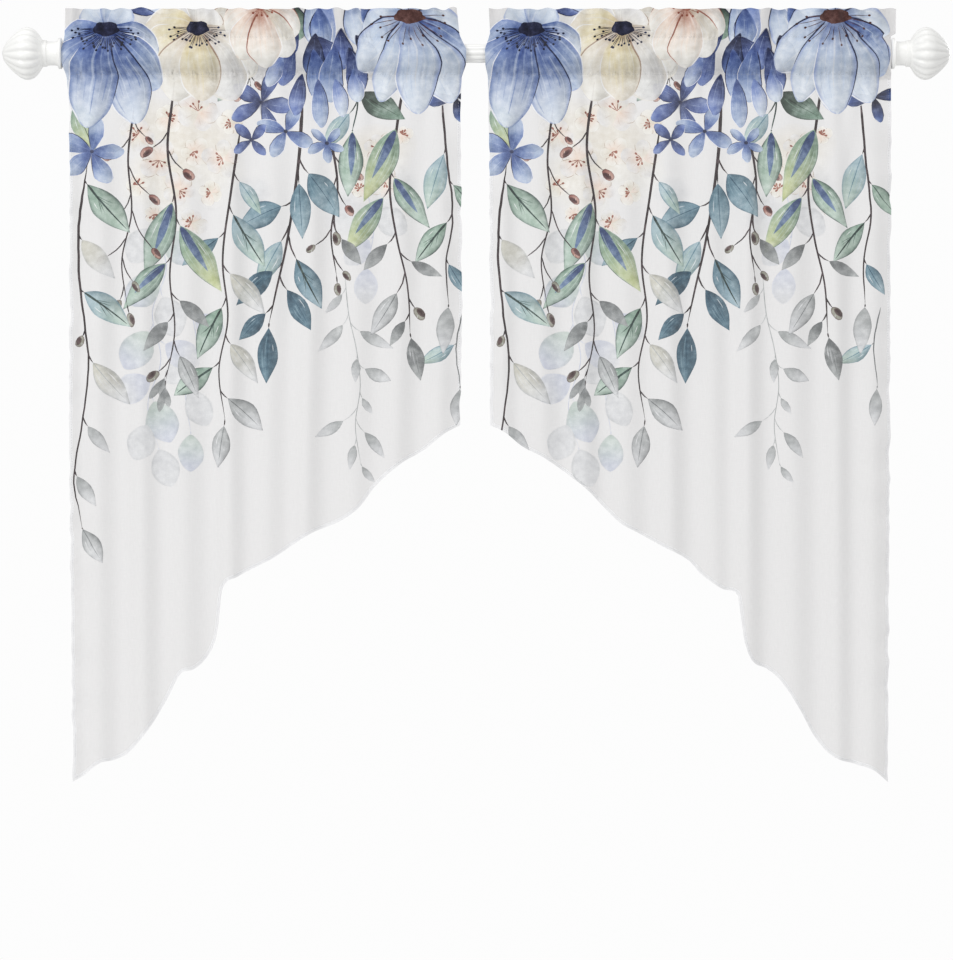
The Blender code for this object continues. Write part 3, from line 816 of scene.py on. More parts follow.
# How each kind of paint lies: its cover, how far its rim shows, how it darkens, fades and softens
PETAL = {"cover": 0.95, "rimming": 0.6, "shade": 0.14}
PETAL_ROOT = {"cover": 0.66, "rimming": 0.0, "fade": 1.0, "soft": 0.6}
BLOSSOM = {"cover": 0.9, "rimming": 0.5}
EYE = {"cover": 0.95, "rimming": 0.0}
FLORET_EYE = {"cover": 0.8, "rimming": 0.0}
STAMEN_TIP = {"cover": 1.0, "rimming": 0.0}
ANTHER = {"cover": 0.9, "rimming": 0.0}
BERRY = {"cover": 0.92, "rimming": 0.55}
BERRY_HEART = {"cover": 0.85, "soft": 0.4}
LEAF = {"cover": 0.94, "rimming": 0.5, "shade": 0.18}
SOFT_LEAF = {"cover": 0.94, "rimming": 0.5, "shade": 0.06}
DISC = {"cover": 0.86, "rimming": 0.3}
STREAK = {"cover": 0.86, "rimming": 0.2, "fade": 0.3}
BUD = {"cover": 0.9, "rimming": 0.6}
STEM = {"cover": 0.95, "rimming": 0.0}
WASHED = {"cover": 0.8, "rimming": 0.0, "soft": 0.9}
STALK_START = 0.55  # share of its turn with which a stalk leaves the stem


class Print:
    """The washes and lines of the print, in the order in which they are laid."""

    def __init__(self, seed):
        self.layers = []
        self.draw = random.Random(seed)

    def lay(self, shape, base, tip=None, rim=None, **finish):
        self.layers.append(Layer(shape, Paint(base, tip or base, rim or base, **finish)))

    def line(self, route, start, end, colour, cover=1.0):
        self.lay(Stroke(route, start, end), colour, cover=cover, rimming=0.0)

    def vein(self, blade, across, start, stop, widths, colour, cover):
        """A line along a blade, that stays at the same share of its width."""
        t = np.linspace(start, stop, 5)
        self.line(blade.at(t, np.full(len(t), across)), *widths, colour, cover)

    def petal(self, root, petal, line, veins):
        tone = TONES[petal.tone]
        blade = Blade(root, *petal[:4], self.draw.uniform(0.56, 0.66), 0.58, 0.055, self.draw.uniform(0, 6))
        self.lay(blade, *tone[:3], **PETAL)
        root_wash = Blade(root, petal.angle + self.draw.uniform(-6, 6), petal.length * 0.62,
                          petal.width * 0.62, petal.bend * 0.4, belly=0.5, blunt=0.7)
        self.lay(root_wash, tone.vein, tone.base, **PETAL_ROOT)
        for number in range(veins):
            across = -0.78 + 1.56 * (number + self.draw.uniform(0.2, 0.8)) / veins
            start, stop = self.draw.uniform(0.06, 0.4), self.draw.uniform(0.6, 0.93)
            colour = tone.light if number % 2 else tone.base
            width = self.draw.uniform(0.02, 0.055) * petal.width
            self.vein(blade, across, start, stop, (width, width * 0.5), colour, self.draw.uniform(0.15, 0.45))
        side = 1 if self.draw.random() < 0.5 else -1
        width = min(2.4, 0.055 * petal.width)
        self.vein(blade, side, 0.1, self.draw.uniform(0.6, 0.95), (width, 0.6), line, 0.85)
        self.vein(blade, -side, self.draw.uniform(0.2, 0.4), 0.97, (0.8, 0.036 * petal.width), "hem", 0.85)

    def bloom(self, bloom):
        for petal in bloom.petals:
            self.petal(bloom.middle, petal, bloom.line, 8)
        middle = np.array(bloom.middle, float)
        for number in range(bloom.stamens):
            turn = math.radians(-95 + 190 * (number + self.draw.uniform(0.2, 0.8)) / bloom.stamens)
            out = np.array([math.sin(turn), 0.75 * math.cos(turn)])
            inner = middle + out * bloom.eye[0] * 0.45
            outer = middle + out * bloom.eye[0] * self.draw.uniform(0.85, 1.35)
            bent = (inner + outer) / 2 + self.draw.uniform(-0.8, 0.8)
            self.line([inner, bent, outer], 0.9, 0.6, bloom.dark)
            self.lay(Blob(outer, 2.6, 3.4, math.degrees(-turn)), bloom.dark, **STAMEN_TIP)
        self.lay(Blob(middle, *bloom.eye, 0, 5, 0.08), bloom.dark, **EYE)

    def floret(self, floret):
        for number in range(floret.petals):
            angle = floret.turn + 360 * number / floret.petals + self.draw.uniform(-9, 9)
            length = floret.size * self.draw.uniform(0.78, 1.1)
            petal = Petal(angle, length, length * self.draw.uniform(0.42, 0.54), 2, floret.tone)
            self.petal((floret.p, floret.q), petal, "navy", 3)
        self.lay(Blob((floret.p, floret.q), 5, 4.4, 0, 4, 0.15), "navy", **FLORET_EYE)

    def blossom(self, flower):
        tone = TONES[flower.tone]
        for number in range(flower.petals):
            angle = flower.turn + 360 * number / flower.petals + self.draw.uniform(-12, 12)
            length = flower.size * self.draw.uniform(0.42, 0.62)
            blade = Blade((flower.p, flower.q), angle, length, length * self.draw.uniform(0.8, 1.02), 0,
                          belly=0.62, blunt=0.5, wave=0.06, phase=self.draw.uniform(0, 6))
            self.lay(blade, self.draw.choice(("peach", "cream")), tone.tip, tone.rim, **BLOSSOM)
            for side in (-1, 1):
                start, cover = self.draw.uniform(0.2, 0.6), self.draw.uniform(0.0, 0.75)
                self.vein(blade, side, start, start + 0.38, (0.9, 0.45), "line", cover)
            self.vein(blade, self.draw.uniform(-0.3, 0.3), 0.3, 0.7, (0.5, 0.3), "rust", 0.2)
        facing = self.draw.uniform(0, 360)
        for number in range(self.draw.randint(4, 6)):
            turn = math.radians(facing + 34 * number + self.draw.uniform(-10, 10))
            reach = flower.size * self.draw.uniform(0.12, 0.25)
            tip = np.array([flower.p + reach * math.sin(turn), flower.q + reach * math.cos(turn)])
            self.line([(flower.p, flower.q), tip], 1.0, 0.7, "rust", 0.9)
            self.lay(Blob(tip, 2.4, 3.8, math.degrees(-turn)), "rust", **ANTHER)

    def berry(self, place, angle, tone):
        tall = self.draw.uniform(12, 18)
        wide = tall * self.draw.uniform(0.52, 0.7)
        middle = np.array(place) + way(angle) * tall * 0.42
        shift = aside(way(angle)) * wide * self.draw.choice((-0.16, 0.16))
        self.lay(Blob(middle, wide, tall, -angle, 3, 0.04, self.draw.uniform(0, 6)), *tone[:3], **BERRY)
        self.lay(Blob(middle + shift, wide * 0.6, tall * 0.72, -angle, 2, 0.1), tone.vein, **BERRY_HEART)
        self.line([middle - shift * 1.4, middle - shift * 1.6 + (0, tall * 0.2)], 0.9, 0.6, tone.light, 0.7)

    def leaf(self, root, angle, leaf):
        tone = TONES[leaf.tone]
        belly, blunt = (0.52, 0.66) if leaf.kind == "round" else (self.draw.uniform(0.4, 0.5), 1.05)
        phase = self.draw.uniform(0, 6)
        blade = Blade(root, angle, leaf.length, leaf.width, leaf.bend, belly, blunt, 0.03, phase)
        if leaf.kind == "round":
            self.lay(blade, *tone[:3], **DISC)
            return
        self.lay(blade, *tone[:3], **(SOFT_LEAF if leaf.kind == "soft" else LEAF))
        if leaf.kind != "soft":
            side = 1 if self.draw.random() < 0.5 else -1
            self.vein(blade, side, 0.15, 0.9, (0.9, 0.5), tone.vein, 0.6)
            self.vein(blade, -0.55 * side, 0.3, self.draw.uniform(0.4, 0.55), (1.3, 0.6), "hem", 0.75)
        if leaf.kind == "streak":
            streak = Blade(blade.at([0.02], [0.0])[0], angle + self.draw.uniform(-3, 3), leaf.length * 0.66,
                           leaf.width * 0.32, leaf.bend * 0.5, belly=0.35, blunt=0.8)
            self.lay(streak, "indigo", "blue", **STREAK)
            for across in (-0.62, -0.3, 0.34, 0.66):
                start = self.draw.uniform(0.1, 0.3)
                self.vein(blade, across, start, start + 0.5, (1.4, 0.6), tone.light, 0.5)
        if leaf.kind == "veined":
            self.vein(blade, 0.0, 0.0, 0.92, (3.0, 1.0), "leaf_line", 0.95)
            for across in (-0.6, -0.35, 0.35, 0.6):
                t = np.array([0.3, 0.45, 0.55]) + self.draw.uniform(-0.08, 0.12)
                self.line(blade.at(t, across * np.array([0.05, 0.55, 1.0])), 1.1, 0.5, "leaf_line", 0.6)
        if leaf.kind == "plain":
            self.vein(blade, 0.0, 0.0, 0.85, (1.4, 0.5), tone.vein, 0.8)
            for across in (-0.55, -0.25, 0.3, 0.62):
                start = self.draw.uniform(0.12, 0.4)
                stop = start + self.draw.uniform(0.25, 0.45)
                colour = tone.light if across < 0 else tone.base
                self.vein(blade, across, start, stop, (1.6, 0.7), colour, 0.45)

    def bud(self, place, angle, tone):
        for turn, length in ((-14, 30), (10, 24)):
            blade = Blade(place, angle + turn, length, 9, 2, belly=0.6, blunt=0.7)
            self.lay(blade, *TONES[tone][:3], **BUD)

    def spray(self, spray):
        stem = Stroke(spray.route, spray.start, spray.end)
        grown = []
        for leaf in spray.leaves:
            place = leaf.share * (len(stem.line) - 1)
            index = min(int(place), len(stem.line) - 2)
            start = stem.line[index] + (stem.line[index + 1] - stem.line[index]) * (place - index)
            heading = math.degrees(math.atan2(*(stem.line[index + 1] - stem.line[index])))
            angle = heading + leaf.turn
            elbow = start + way(heading + STALK_START * leaf.turn) * leaf.stalk * 0.5
            end = elbow + way(angle) * leaf.stalk * 0.5
            if leaf.stalk:
                self.line([start, elbow, end], spray.end * 1.3, spray.end * 0.9, spray.colour, 0.95)
            grown.append((end, angle, leaf))
        self.lay(stem, spray.colour, **STEM)
        for end, angle, leaf in grown:
            if leaf.kind == "berry":
                self.berry(end, angle, TONES[leaf.tone])
            elif leaf.kind == "bud":
                self.bud(end, angle, leaf.tone)
            else:
                self.leaf(end, angle, leaf)

    def whole(self):
        for wash in WASHES:
            tone = TONES[wash.tone]
            cloud = Blob((wash.p, wash.q), wash.wide, wash.tall, wash.angle, 3, 0.12, self.draw.uniform(0, 6))
            self.lay(cloud, *tone[:3], **WASHED)
        for flower in BLOSSOMS:
            self.blossom(flower)
        for spray in SPRAYS[::-1]:
            self.spray(spray)
        for floret in FLORETS:
            self.floret(floret)
        for spur in CLUSTER:
            self.petal(spur[:2], Petal(*spur[2:]), "navy", 4)
        for bloom in BLOOMS:
            self.bloom(bloom)
        return self.layers


# ------------------------------------------------------------------ making the cloth


def linear(colour):
    colour = np.asarray(colour, float)
    return np.where(colour <= 0.04045, colour / 12.92, ((colour + 0.055) / 1.055) ** 2.4)


def painted(colours, corners, covering, layers):
    """Colour (display values) and amount of pigment at each corner of each triangle."""
    tones = np.ones((len(corners), 3, 3)) * np.array(colours.cloth)
    pigment = np.zeros((len(corners), 3))
    for number, layer in enumerate(layers):
        faces = covering.get(number)
        if faces is None:
            continue
        paint = layer.paint
        t, e = layer.shape.shares(corners[faces].reshape(-1, 2))
        base, tip, rim = (np.array(getattr(colours, name)) for name in paint[:3])
        mixed = base + (tip - base) * ease(t)[:, None]
        mixed = mixed * (1 - paint.shade * np.clip(e, 0, 1))[:, None]
        edge = paint.rimming * ease((abs(e) - 0.72) / 0.28)
        mixed = mixed + (rim - mixed) * edge[:, None]
        cover = paint.cover * (1 - paint.fade * t) * (1 - paint.soft * e**2)
        cover = cover.reshape(-1, 3, 1)
        tones[faces] += (mixed.reshape(-1, 3, 3) - tones[faces]) * cover
        pigment[faces] += (1 - pigment[faces]) * cover[..., 0]
    return tones, pigment


def rows_of_points(drape, rows, across):
    """Places in staggered rows that stay clear of the outline (mm)."""
    points = []
    for row, q in enumerate(rows):
        p = np.arange(across * (0.5 + 0.5 * (row % 2)), drape.width - 0.3 * across, across)
        p = p[(q > drape.top(p) + 0.3 * across) & (q < drape.hem(p) - 0.3 * across)]
        points.append(np.stack([p, np.full(len(p), q)], axis=1))
    return np.concatenate(points)


def front_points(drape, cloth):
    """Places that fill the front, closest together where its shape or its print is finest (mm)."""
    steps = [(top, foot, getattr(cloth, name) / MM) for name, top, foot in FRONT_ZONES]
    return np.concatenate([rows_of_points(drape, np.arange(top, foot, step), step)
                           for top, foot, step in steps])


def back_points(drape, cloth):
    """Places that fill the back layer, with a row on each seam (mm)."""
    step = cloth.heading_step / MM
    rows = np.r_[np.arange(2 - HEADING_TOP, -TOP_STITCH - 1, step),
                 np.linspace(-TOP_STITCH, -BOTTOM_STITCH, int((TOP_STITCH - BOTTOM_STITCH) / step) + 1),
                 -BOTTOM_STITCH + TAIL * np.array([0.35, 0.7])]
    return rows_of_points(drape, rows, step)


def outline_between(top, low):
    """Round between two lines that run from left to right: top, right side, lower line, left side (mm)."""
    sides = []
    for start, end in ((top[-1], low[-1]), (low[0], top[0])):
        sides.append(np.linspace(start, end, int(abs(end[1] - start[1]) / SIDE_STEP) + 1)[1:-1])
    return np.concatenate([top, sides[0], low[::-1], sides[1]])


def cut_cloth(outline, layers, points):
    """The cloth in an outline, cut along every edge of the print: places, triangles, layer -> triangles."""
    places, faces, owners = [], [], []

    def add(loop, owner):
        first = len(places)
        places.extend(Vector(point) for point in loop)
        faces.append(list(range(first, len(places))))
        owners.append(owner)

    add(outline, -1)
    for number, layer in enumerate(layers):
        for inner, loop in enumerate(layer.shape.loops()):
            add(loop, number if inner == 0 else None)
    places.extend(Vector(point) for point in points)
    made, _, triangles, _, _, origins = delaunay_2d_cdt(places, [], faces, 1, NEARNESS, True)
    made = np.array(made)
    kept, covering = [], {}
    for triangle, origin in zip(triangles, origins):
        owned = {owners[face] for face in origin}
        if -1 not in owned:
            continue
        for owner in owned:
            if owner is not None and owner >= 0:
                covering.setdefault(owner, []).append(len(kept))
        kept.append(triangle)
    kept = np.array(kept)
    used, numbers = np.unique(kept, return_inverse=True)
    return made[used], numbers.reshape(-1, 3), covering


def printed_cloth(outline, layers, points, facing, colours):
    """One layer of cloth with its print: places, triangles that face that way, colours at their corners."""
    places, triangles, covering = cut_cloth(outline, layers, points)
    corners = places[triangles]
    flip = facing * np.cross(corners[:, 1] - corners[:, 0], corners[:, 2] - corners[:, 0]) < 0
    triangles[flip] = triangles[flip][:, ::-1]
    tones, pigment = painted(colours, places[triangles], covering, layers)
    return places, triangles, np.concatenate([linear(tones), pigment[..., None]], axis=-1)


def boundary(triangles):
    """The open edges, as a dict from each corner to the next one round."""
    edges = np.concatenate([triangles[:, [0, 1]], triangles[:, [1, 2]], triangles[:, [2, 0]]])
    keys = {(a, b) for a, b in edges.tolist()}
    return {a: b for a, b in keys if (b, a) not in keys}


def edge_run(places, around, start, end, axis):
    """The corners along the open edge between those nearest to two places, setting off up the axis."""
    rim = np.array(list(around))
    first, last = (rim[np.linalg.norm(places[rim] - spot, axis=1).argmin()] for spot in (start, end))
    if places[around[first], axis] <= places[first, axis]:
        around = {after: before for before, after in around.items()}
    run = [first]
    while run[-1] != last:
        run.append(around[run[-1]])
    return np.array(run)


class Shades:
    """Colour and pigment of the print at any place, taken from the nearest triangle of the front."""

    def __init__(self, corners, shown):
        self.shown = shown.mean(axis=1)
        self.tree = KDTree(len(corners))
        for number, (p, q) in enumerate(corners.mean(axis=1)):
            self.tree.insert((p, q, 0.0), number)
        self.tree.balance()

    def at(self, p, q):
        return self.shown[[self.tree.find((x, y, 0.0))[1] for x, y in zip(p, q)]]


class PanelMesh:
    """The parts of one panel's mesh as they are put together; all but the points is kept for each corner."""

    def __init__(self, drape):
        self.drape = drape
        self.points, self.count = [], 0
        self.faces, self.colours, self.normals, self.bake, self.weave = [], [], [], [], []

    def add_points(self, points):
        self.points.append(points * MM)
        self.count += len(points)
        return np.arange(self.count - len(points), self.count)

    def add_faces(self, faces, **corners):
        self.faces += faces.tolist()
        for label, values in corners.items():
            getattr(self, label).append(values.reshape(-1, values.shape[-1]))

    def bake_at(self, p, q):
        reach = HEADING_TOP + HEADING_SCALLOP + 2 + self.drape.longest
        return np.stack([BAKE_RIM + BAKE_SPAN * p / self.drape.width,
                         BAKE_RIM + BAKE_SPAN * (self.drape.longest + 1 - q) / reach], axis=-1)

    def back_bake(self, p, q):
        """Where the back layer's finish is kept: in the map's empty corner under the short inner edge."""
        low, high = BACK_BAKE_ACROSS[self.drape.side]
        start = self.drape.longest - BACK_BAKE_START
        share = (q + HEADING_TOP + HEADING_SCALLOP) / (HEADING_TOP + HEADING_SCALLOP - BOTTOM_STITCH + TAIL)
        return self.bake_at(low * self.drape.width + (high - low) * p,
                            start + BACK_BAKE_SPAN * np.clip(share, 0, 1))


def make_panel(name, side, colours, cloth, layers, surface):
    """One printed panel with its heading, its pocket and its turned hems."""
    drape = Drape(SIDES[side], CUTS[side])
    hem_width = cloth.hem_width / MM
    # The doubled hem's band: its higher cover is the denser cloth, and its lighter colour is painted light
    band = Layer(hem_band(drape, hem_width), Paint("hem", "hem", "hem", cover=0.95, rimming=0.0))
    line = np.linspace(0, drape.width, int(drape.width / EDGE_STEP) + 1)
    top, hem = np.stack([line, drape.top(line)], axis=1), np.stack([line, drape.hem(line)], axis=1)
    places, triangles, shown = printed_cloth(
        outline_between(top, hem), [band] + layers, front_points(drape, cloth), -1, colours)
    corners = places[triangles]
    built = PanelMesh(drape)
    front = built.add_points(drape.place(*places.T))
    built.add_faces(triangles, colours=shown, normals=drape.normal(*places.T)[triangles],
                    bake=built.bake_at(*corners.T).swapaxes(0, 1), weave=corners)
    around = boundary(triangles)

    fold = edge_run(places, around, top[0], top[-1], 0)
    foot = np.stack([line, np.full(len(line), -BOTTOM_STITCH + TAIL)], axis=1)
    add_back(built, front[fold], places[fold], foot, layers, back_points(drape, cloth), colours)

    low = -BOTTOM_STITCH + TAIL + SIDE_STEP
    rim = edge_run(places, around, (0.0, low), (drape.width, low), 1)
    # The turned hem takes the colours of the front at its place, the hem's painted light with them
    add_hem(built, front[rim], places[rim], Shades(corners, shown), hem_width)
    return finish_panel(name, built, surface)


def add_back(built, fold, top, foot, layers, points, colours):
    """The back layer: down from the top fold, round the rod and under the lower seam."""
    shown_behind = [layer for layer in layers if layer.shape.loops()[0][:, 1].min() < foot[0, 1]
                    and (layer.paint.cover > BACK_COVER or not isinstance(layer.shape, Stroke))]
    spots, triangles, shown = printed_cloth(outline_between(top, foot), shown_behind, points, 1, colours)
    seam = edge_run(spots, boundary(triangles), top[0], top[-1], 0)
    numbers = np.full(len(spots), -1)
    numbers[seam] = fold[abs(top[:, 0] - spots[seam, :1]).argmin(axis=1)]
    drape, (p, q) = built.drape, spots.T
    under = (q > -BOTTOM_STITCH)[:, None]
    place = np.where(under, drape.place(p, q) + (0.0, 2 * LAYER_GAP, 0.0), drape.place(p, q, 1))
    out = np.where(under, -drape.normal(p, q), drape.normal(p, q, 1))
    free = numbers < 0
    numbers[free] = built.add_points(place[free])
    # At the fold a small triangle can shrink to a line or match one of the front's, and both are left out
    faces = numbers[triangles]
    taken = {tuple(sorted(face)) for face in built.faces}
    whole = (faces != faces[:, [1, 2, 0]]).all(axis=1)
    whole &= [tuple(sorted(face)) not in taken for face in faces.tolist()]
    corners = spots[triangles[whole]]
    built.add_faces(faces[whole], colours=shown[whole], normals=out[triangles[whole]],
                    bake=built.back_bake(*corners.T).swapaxes(0, 1), weave=corners * (1, -1) - (0, 200))


def add_hem(built, rim, line, shades, width):
    """The hem turned behind the sides and the bottom edge, as one strip on the open edges."""
    drape, turned = built.drape, inward(line)
    rows = []
    for share in (0.0, 0.06, 1.0):
        spot = line + turned * width * share
        spot[:, 0] = np.clip(spot[:, 0], 0, drape.width)
        out = -drape.normal(*spot.T)
        made = built.add_points(drape.place(*spot.T) + out * TURN_GAP) if share else rim
        rows.append((made, shades.at(*spot.T), out, built.bake_at(*spot.T), spot))
    for near_row, far_row in zip(rows, rows[1:]):
        quads, tones, out, bake, weave = (np.stack([far[:-1], far[1:], near[1:], near[:-1]], axis=1)
                                          for near, far in zip(near_row, far_row))
        built.add_faces(quads, colours=tones, normals=out, bake=bake, weave=weave)


def placed(name, data):
    """A new object in the scene, at the origin."""
    made = bpy.data.objects.new(name, data)
    bpy.context.scene.collection.objects.link(made)
    return made


def finish_panel(name, built, surface):
    mesh = bpy.data.meshes.new(name)
    mesh.from_pydata(np.concatenate(built.points).tolist(), [], built.faces)
    mesh.materials.append(surface)
    for label, parts, scale in (("OFBake", built.bake, 1), ("weave", built.weave, MM)):
        values = (np.concatenate(parts) * scale).astype(np.float32)
        mesh.uv_layers.new(name=label).data.foreach_set("uv", values.ravel())
    mesh.uv_layers["OFBake"].active = True
    colour = mesh.color_attributes.new("print", "FLOAT_COLOR", "CORNER")
    colour.data.foreach_set("color", np.concatenate(built.colours).astype(np.float32).ravel())
    mesh.shade_smooth()
    mesh.update()
    mesh.normals_split_custom_set(np.concatenate(built.normals).tolist())
    return placed(name, mesh)


# ------------------------------------------------------------------ node trees


class Value:
    """One output of a node tree; arithmetic on it adds Math nodes."""

    def __init__(self, tree, socket):
        self.tree, self.socket = tree, socket

    def math(self, operation, *values):
        return node(self.tree, "ShaderNodeMath", dict(enumerate(values)), operation=operation)

    def __add__(self, other):
        return self.math("ADD", self, other)

    def __sub__(self, other):
        return self.math("SUBTRACT", self, other)

    def __rsub__(self, other):
        return self.math("SUBTRACT", other, self)

    def __mul__(self, other):
        return self.math("MULTIPLY", self, other)

    def __pow__(self, other):
        return self.math("POWER", self, other)

    __radd__ = __add__
    __rmul__ = __mul__

    def between(self, low, high):
        """0 at low, 1 at high, smooth between them."""
        return node(self.tree, "ShaderNodeMapRange", {"Value": self, "From Min": low, "From Max": high},
                    interpolation_type="SMOOTHSTEP")


def node(tree, kind, inputs=None, output=0, **settings):
    """Adds a node, makes its settings, then its inputs, and gives one of its outputs as a Value."""
    made = tree.nodes.new(kind)
    for key, value in settings.items():
        setattr(made, key, value)
    for key, value in (inputs or {}).items():
        plug(tree, value, find_socket(made.inputs, key))
    return Value(tree, find_socket(made.outputs, output)) if made.outputs else None


def plug(tree, value, socket):
    if isinstance(value, Value):
        tree.links.new(value.socket, socket)
    else:
        socket.default_value = value


def find_socket(sockets, key):
    """The socket with that identifier, or else with that name or number."""
    return next((socket for socket in sockets if socket.identifier == key), None) or sockets[key]


def blend(tree, factor, low, high, **settings):
    """A colour between two colours; each is a Value or linear red, green and blue."""
    low, high = (colour if isinstance(colour, Value) else (*colour, 1) for colour in (low, high))
    return node(tree, "ShaderNodeMix", {"Factor_Float": factor, "A_Color": low, "B_Color": high},
                "Result_Color", data_type="RGBA", **settings)


def object_place(tree):
    return node(tree, "ShaderNodeTexCoord", output="Object")


def new_surface(name):
    """A material and its tree's Principled shader."""
    made = bpy.data.materials.new(name)
    made.use_nodes = True
    return made, made.node_tree, made.node_tree.nodes["Principled BSDF"]


def feed(tree, shader, **inputs):
    """Links each Value to the shader's socket of that name, and sets a plain number on the socket itself."""
    for key, value in inputs.items():
        plug(tree, value, shader.inputs[key.replace("_", " ")])


def noise(tree, vector, scale, detail):
    return node(tree, "ShaderNodeTexNoise", {"Vector": vector, "Scale": scale, "Detail": detail})


def stretched(tree, vector, x, y, z=1.0):
    return node(tree, "ShaderNodeVectorMath", {0: vector, 1: (x, y, z)}, operation="MULTIPLY")


def voile_surface(cloth):
    """Sheer white voile with its print: threads, pigment that settles unevenly, a soft sheen."""
    made, tree, shader = new_surface("printed_voile")
    weave = node(tree, "ShaderNodeUVMap", uv_map="weave")
    printed = node(tree, "ShaderNodeVertexColor", output="Color", layer_name="print")
    pigment = Value(tree, printed.socket.node.outputs["Alpha"])

    warp = noise(tree, stretched(tree, weave, 2600.0, 90.0), 1.0, 1.0)
    weft = noise(tree, stretched(tree, weave, 90.0, 2600.0), 1.0, 1.0)
    slub = noise(tree, stretched(tree, weave, 420.0, 16.0), 1.0, 2.0)
    threads = warp * 0.4 + weft * 0.4 + slub * 0.2

    grain = noise(tree, weave, 950.0, 2.0)
    pool = noise(tree, weave, 130.0, 3.0)
    bloom = noise(tree, weave, 42.0, 2.0)
    settled = (grain - 0.5) * 0.5 + (pool - 0.5) * 1.1 + (bloom - 0.5) * 0.8
    gamma = 1 + settled * pigment * 1.15
    tinted = node(tree, "ShaderNodeGamma", {"Color": printed, "Gamma": gamma})
    lit = 0.955 + threads * 0.09
    coloured = blend(tree, 1.0, tinted, lit, blend_type="MULTIPLY")
    cover = cloth.cover + pigment * 0.16 + (threads - 0.5) * 0.16
    relief = node(tree, "ShaderNodeBump", {"Height": threads, "Strength": 0.35, "Distance": 0.0004},
                  "Normal")
    feed(tree, shader, Base_Color=coloured, Alpha=cover, Roughness=0.82 + threads * 0.1, Normal=relief,
         Sheen_Weight=0.25, Sheen_Roughness=0.5, Specular_IOR_Level=0.25)
    return made


def thread_surface(colours):
    made, tree, shader = new_surface("white_thread")
    place = object_place(tree)
    twist = noise(tree, place, 1800.0, 2.0)
    colour = blend(tree, twist, linear(np.array(colours.thread) * 0.94), linear(colours.thread))
    feed(tree, shader, Base_Color=colour, Alpha=0.4, Roughness=0.5 + twist * 0.2)
    return made


def paint_surface(colours):
    """White satin paint on turned wood: brush marks round the turning, a little dust and painted shade in the
    hollows.
    """
    made, tree, shader = new_surface("white_painted_wood")
    place = object_place(tree)
    hollow = node(tree, "ShaderNodeAttribute", output="Fac", attribute_name="hollow")
    brush = noise(tree, stretched(tree, place, 1500.0, 160.0, 160.0), 1.0, 3.0)
    cloud = noise(tree, place, 38.0, 3.0)
    speck = noise(tree, place, 900.0, 2.0)
    # Darker where the hollow attribute is high: painted shade in the flutes; the cloud and speck noise add a
    # little dust
    dust_and_groove_shade = (hollow * 0.55 + (cloud - 0.5) * 0.3 + (speck - 0.5) * 0.15).between(0.0, 1.0)
    colour = blend(tree, dust_and_groove_shade, linear(colours.paint), linear(np.array(colours.paint) * 0.94))
    relief = node(tree, "ShaderNodeBump",
                  {"Height": brush * 0.7 + cloud * 0.3, "Strength": 0.12, "Distance": 0.0006}, "Normal")
    rough = 0.30 + brush * 0.12 + hollow * 0.12
    feed(tree, shader, Base_Color=colour, Roughness=rough, Normal=relief,
         Coat_Weight=0.25, Coat_Roughness=0.22)
    return made


# ------------------------------------------------------------------ geometry trees


def new_tree(name, inputs):
    """A geometry tree with a Geometry input and output and the named inputs (label: kind of socket)."""
    tree = bpy.data.node_groups.new(name, "GeometryNodeTree")
    tree.interface.new_socket("Geometry", in_out="INPUT", socket_type="NodeSocketGeometry")
    for label, kind in inputs.items():
        tree.interface.new_socket(label, in_out="INPUT", socket_type="NodeSocket" + kind)
    tree.interface.new_socket("Geometry", in_out="OUTPUT", socket_type="NodeSocketGeometry")
    entry = tree.nodes.new("NodeGroupInput")
    return tree, {socket.name: Value(tree, socket) for socket in entry.outputs if socket.name}


def end_tree(tree, geometry, surface):
    whole = node(tree, "GeometryNodeRealizeInstances", {"Geometry": geometry})
    dressed = node(tree, "GeometryNodeSetMaterial", {"Geometry": whole, "Material": surface})
    node(tree, "NodeGroupOutput", {0: dressed})


def turning_tree():
    """Turns a line of points with the attributes reach and lobed into a fluted turning about X."""
    tree, given = new_tree("fluted_turning", {
        "Flutes": "Int", "Depth": "Float", "Round Steps": "Int", "Finish": "Material"})
    path = node(tree, "GeometryNodeMeshToCurve", {"Mesh": given["Geometry"]})
    ring = node(tree, "GeometryNodeCurvePrimitiveCircle",
                {"Resolution": given["Round Steps"], "Radius": 1.0}, "Curve", mode="RADIUS")
    skin = node(tree, "GeometryNodeCurveToMesh", {"Curve": path, "Profile Curve": ring, "Fill Caps": True})
    reach = node(tree, "GeometryNodeInputNamedAttribute", {"Name": "reach"}, data_type="FLOAT")
    lobed = node(tree, "GeometryNodeInputNamedAttribute", {"Name": "lobed"}, data_type="FLOAT")
    place = node(tree, "GeometryNodeInputPosition")
    x, y, z = (node(tree, "ShaderNodeSeparateXYZ", {0: place}, axis) for axis in range(3))
    angle = y.math("ARCTAN2", y, z)
    groove = (0.5 + 0.5 * (angle * given["Flutes"]).math("COSINE", angle * given["Flutes"])) ** 2.0
    scale = reach * (1 - groove * lobed * given["Depth"])
    moved = node(tree, "ShaderNodeCombineXYZ", {0: x, 1: y * scale, 2: z * scale})
    shaped = node(tree, "GeometryNodeSetPosition", {"Geometry": skin, "Position": moved})
    # hollow: how deep in a flute each point lies; the paint uses it for painted shade and dust in the grooves
    marked = node(tree, "GeometryNodeStoreNamedAttribute",
                  {"Geometry": shaped, "Name": "hollow", "Value": groove * lobed}, data_type="FLOAT",
                  domain="POINT")
    smooth = node(tree, "GeometryNodeSetShadeSmooth", {"Geometry": marked})
    end_tree(tree, smooth, given["Finish"])
    return tree


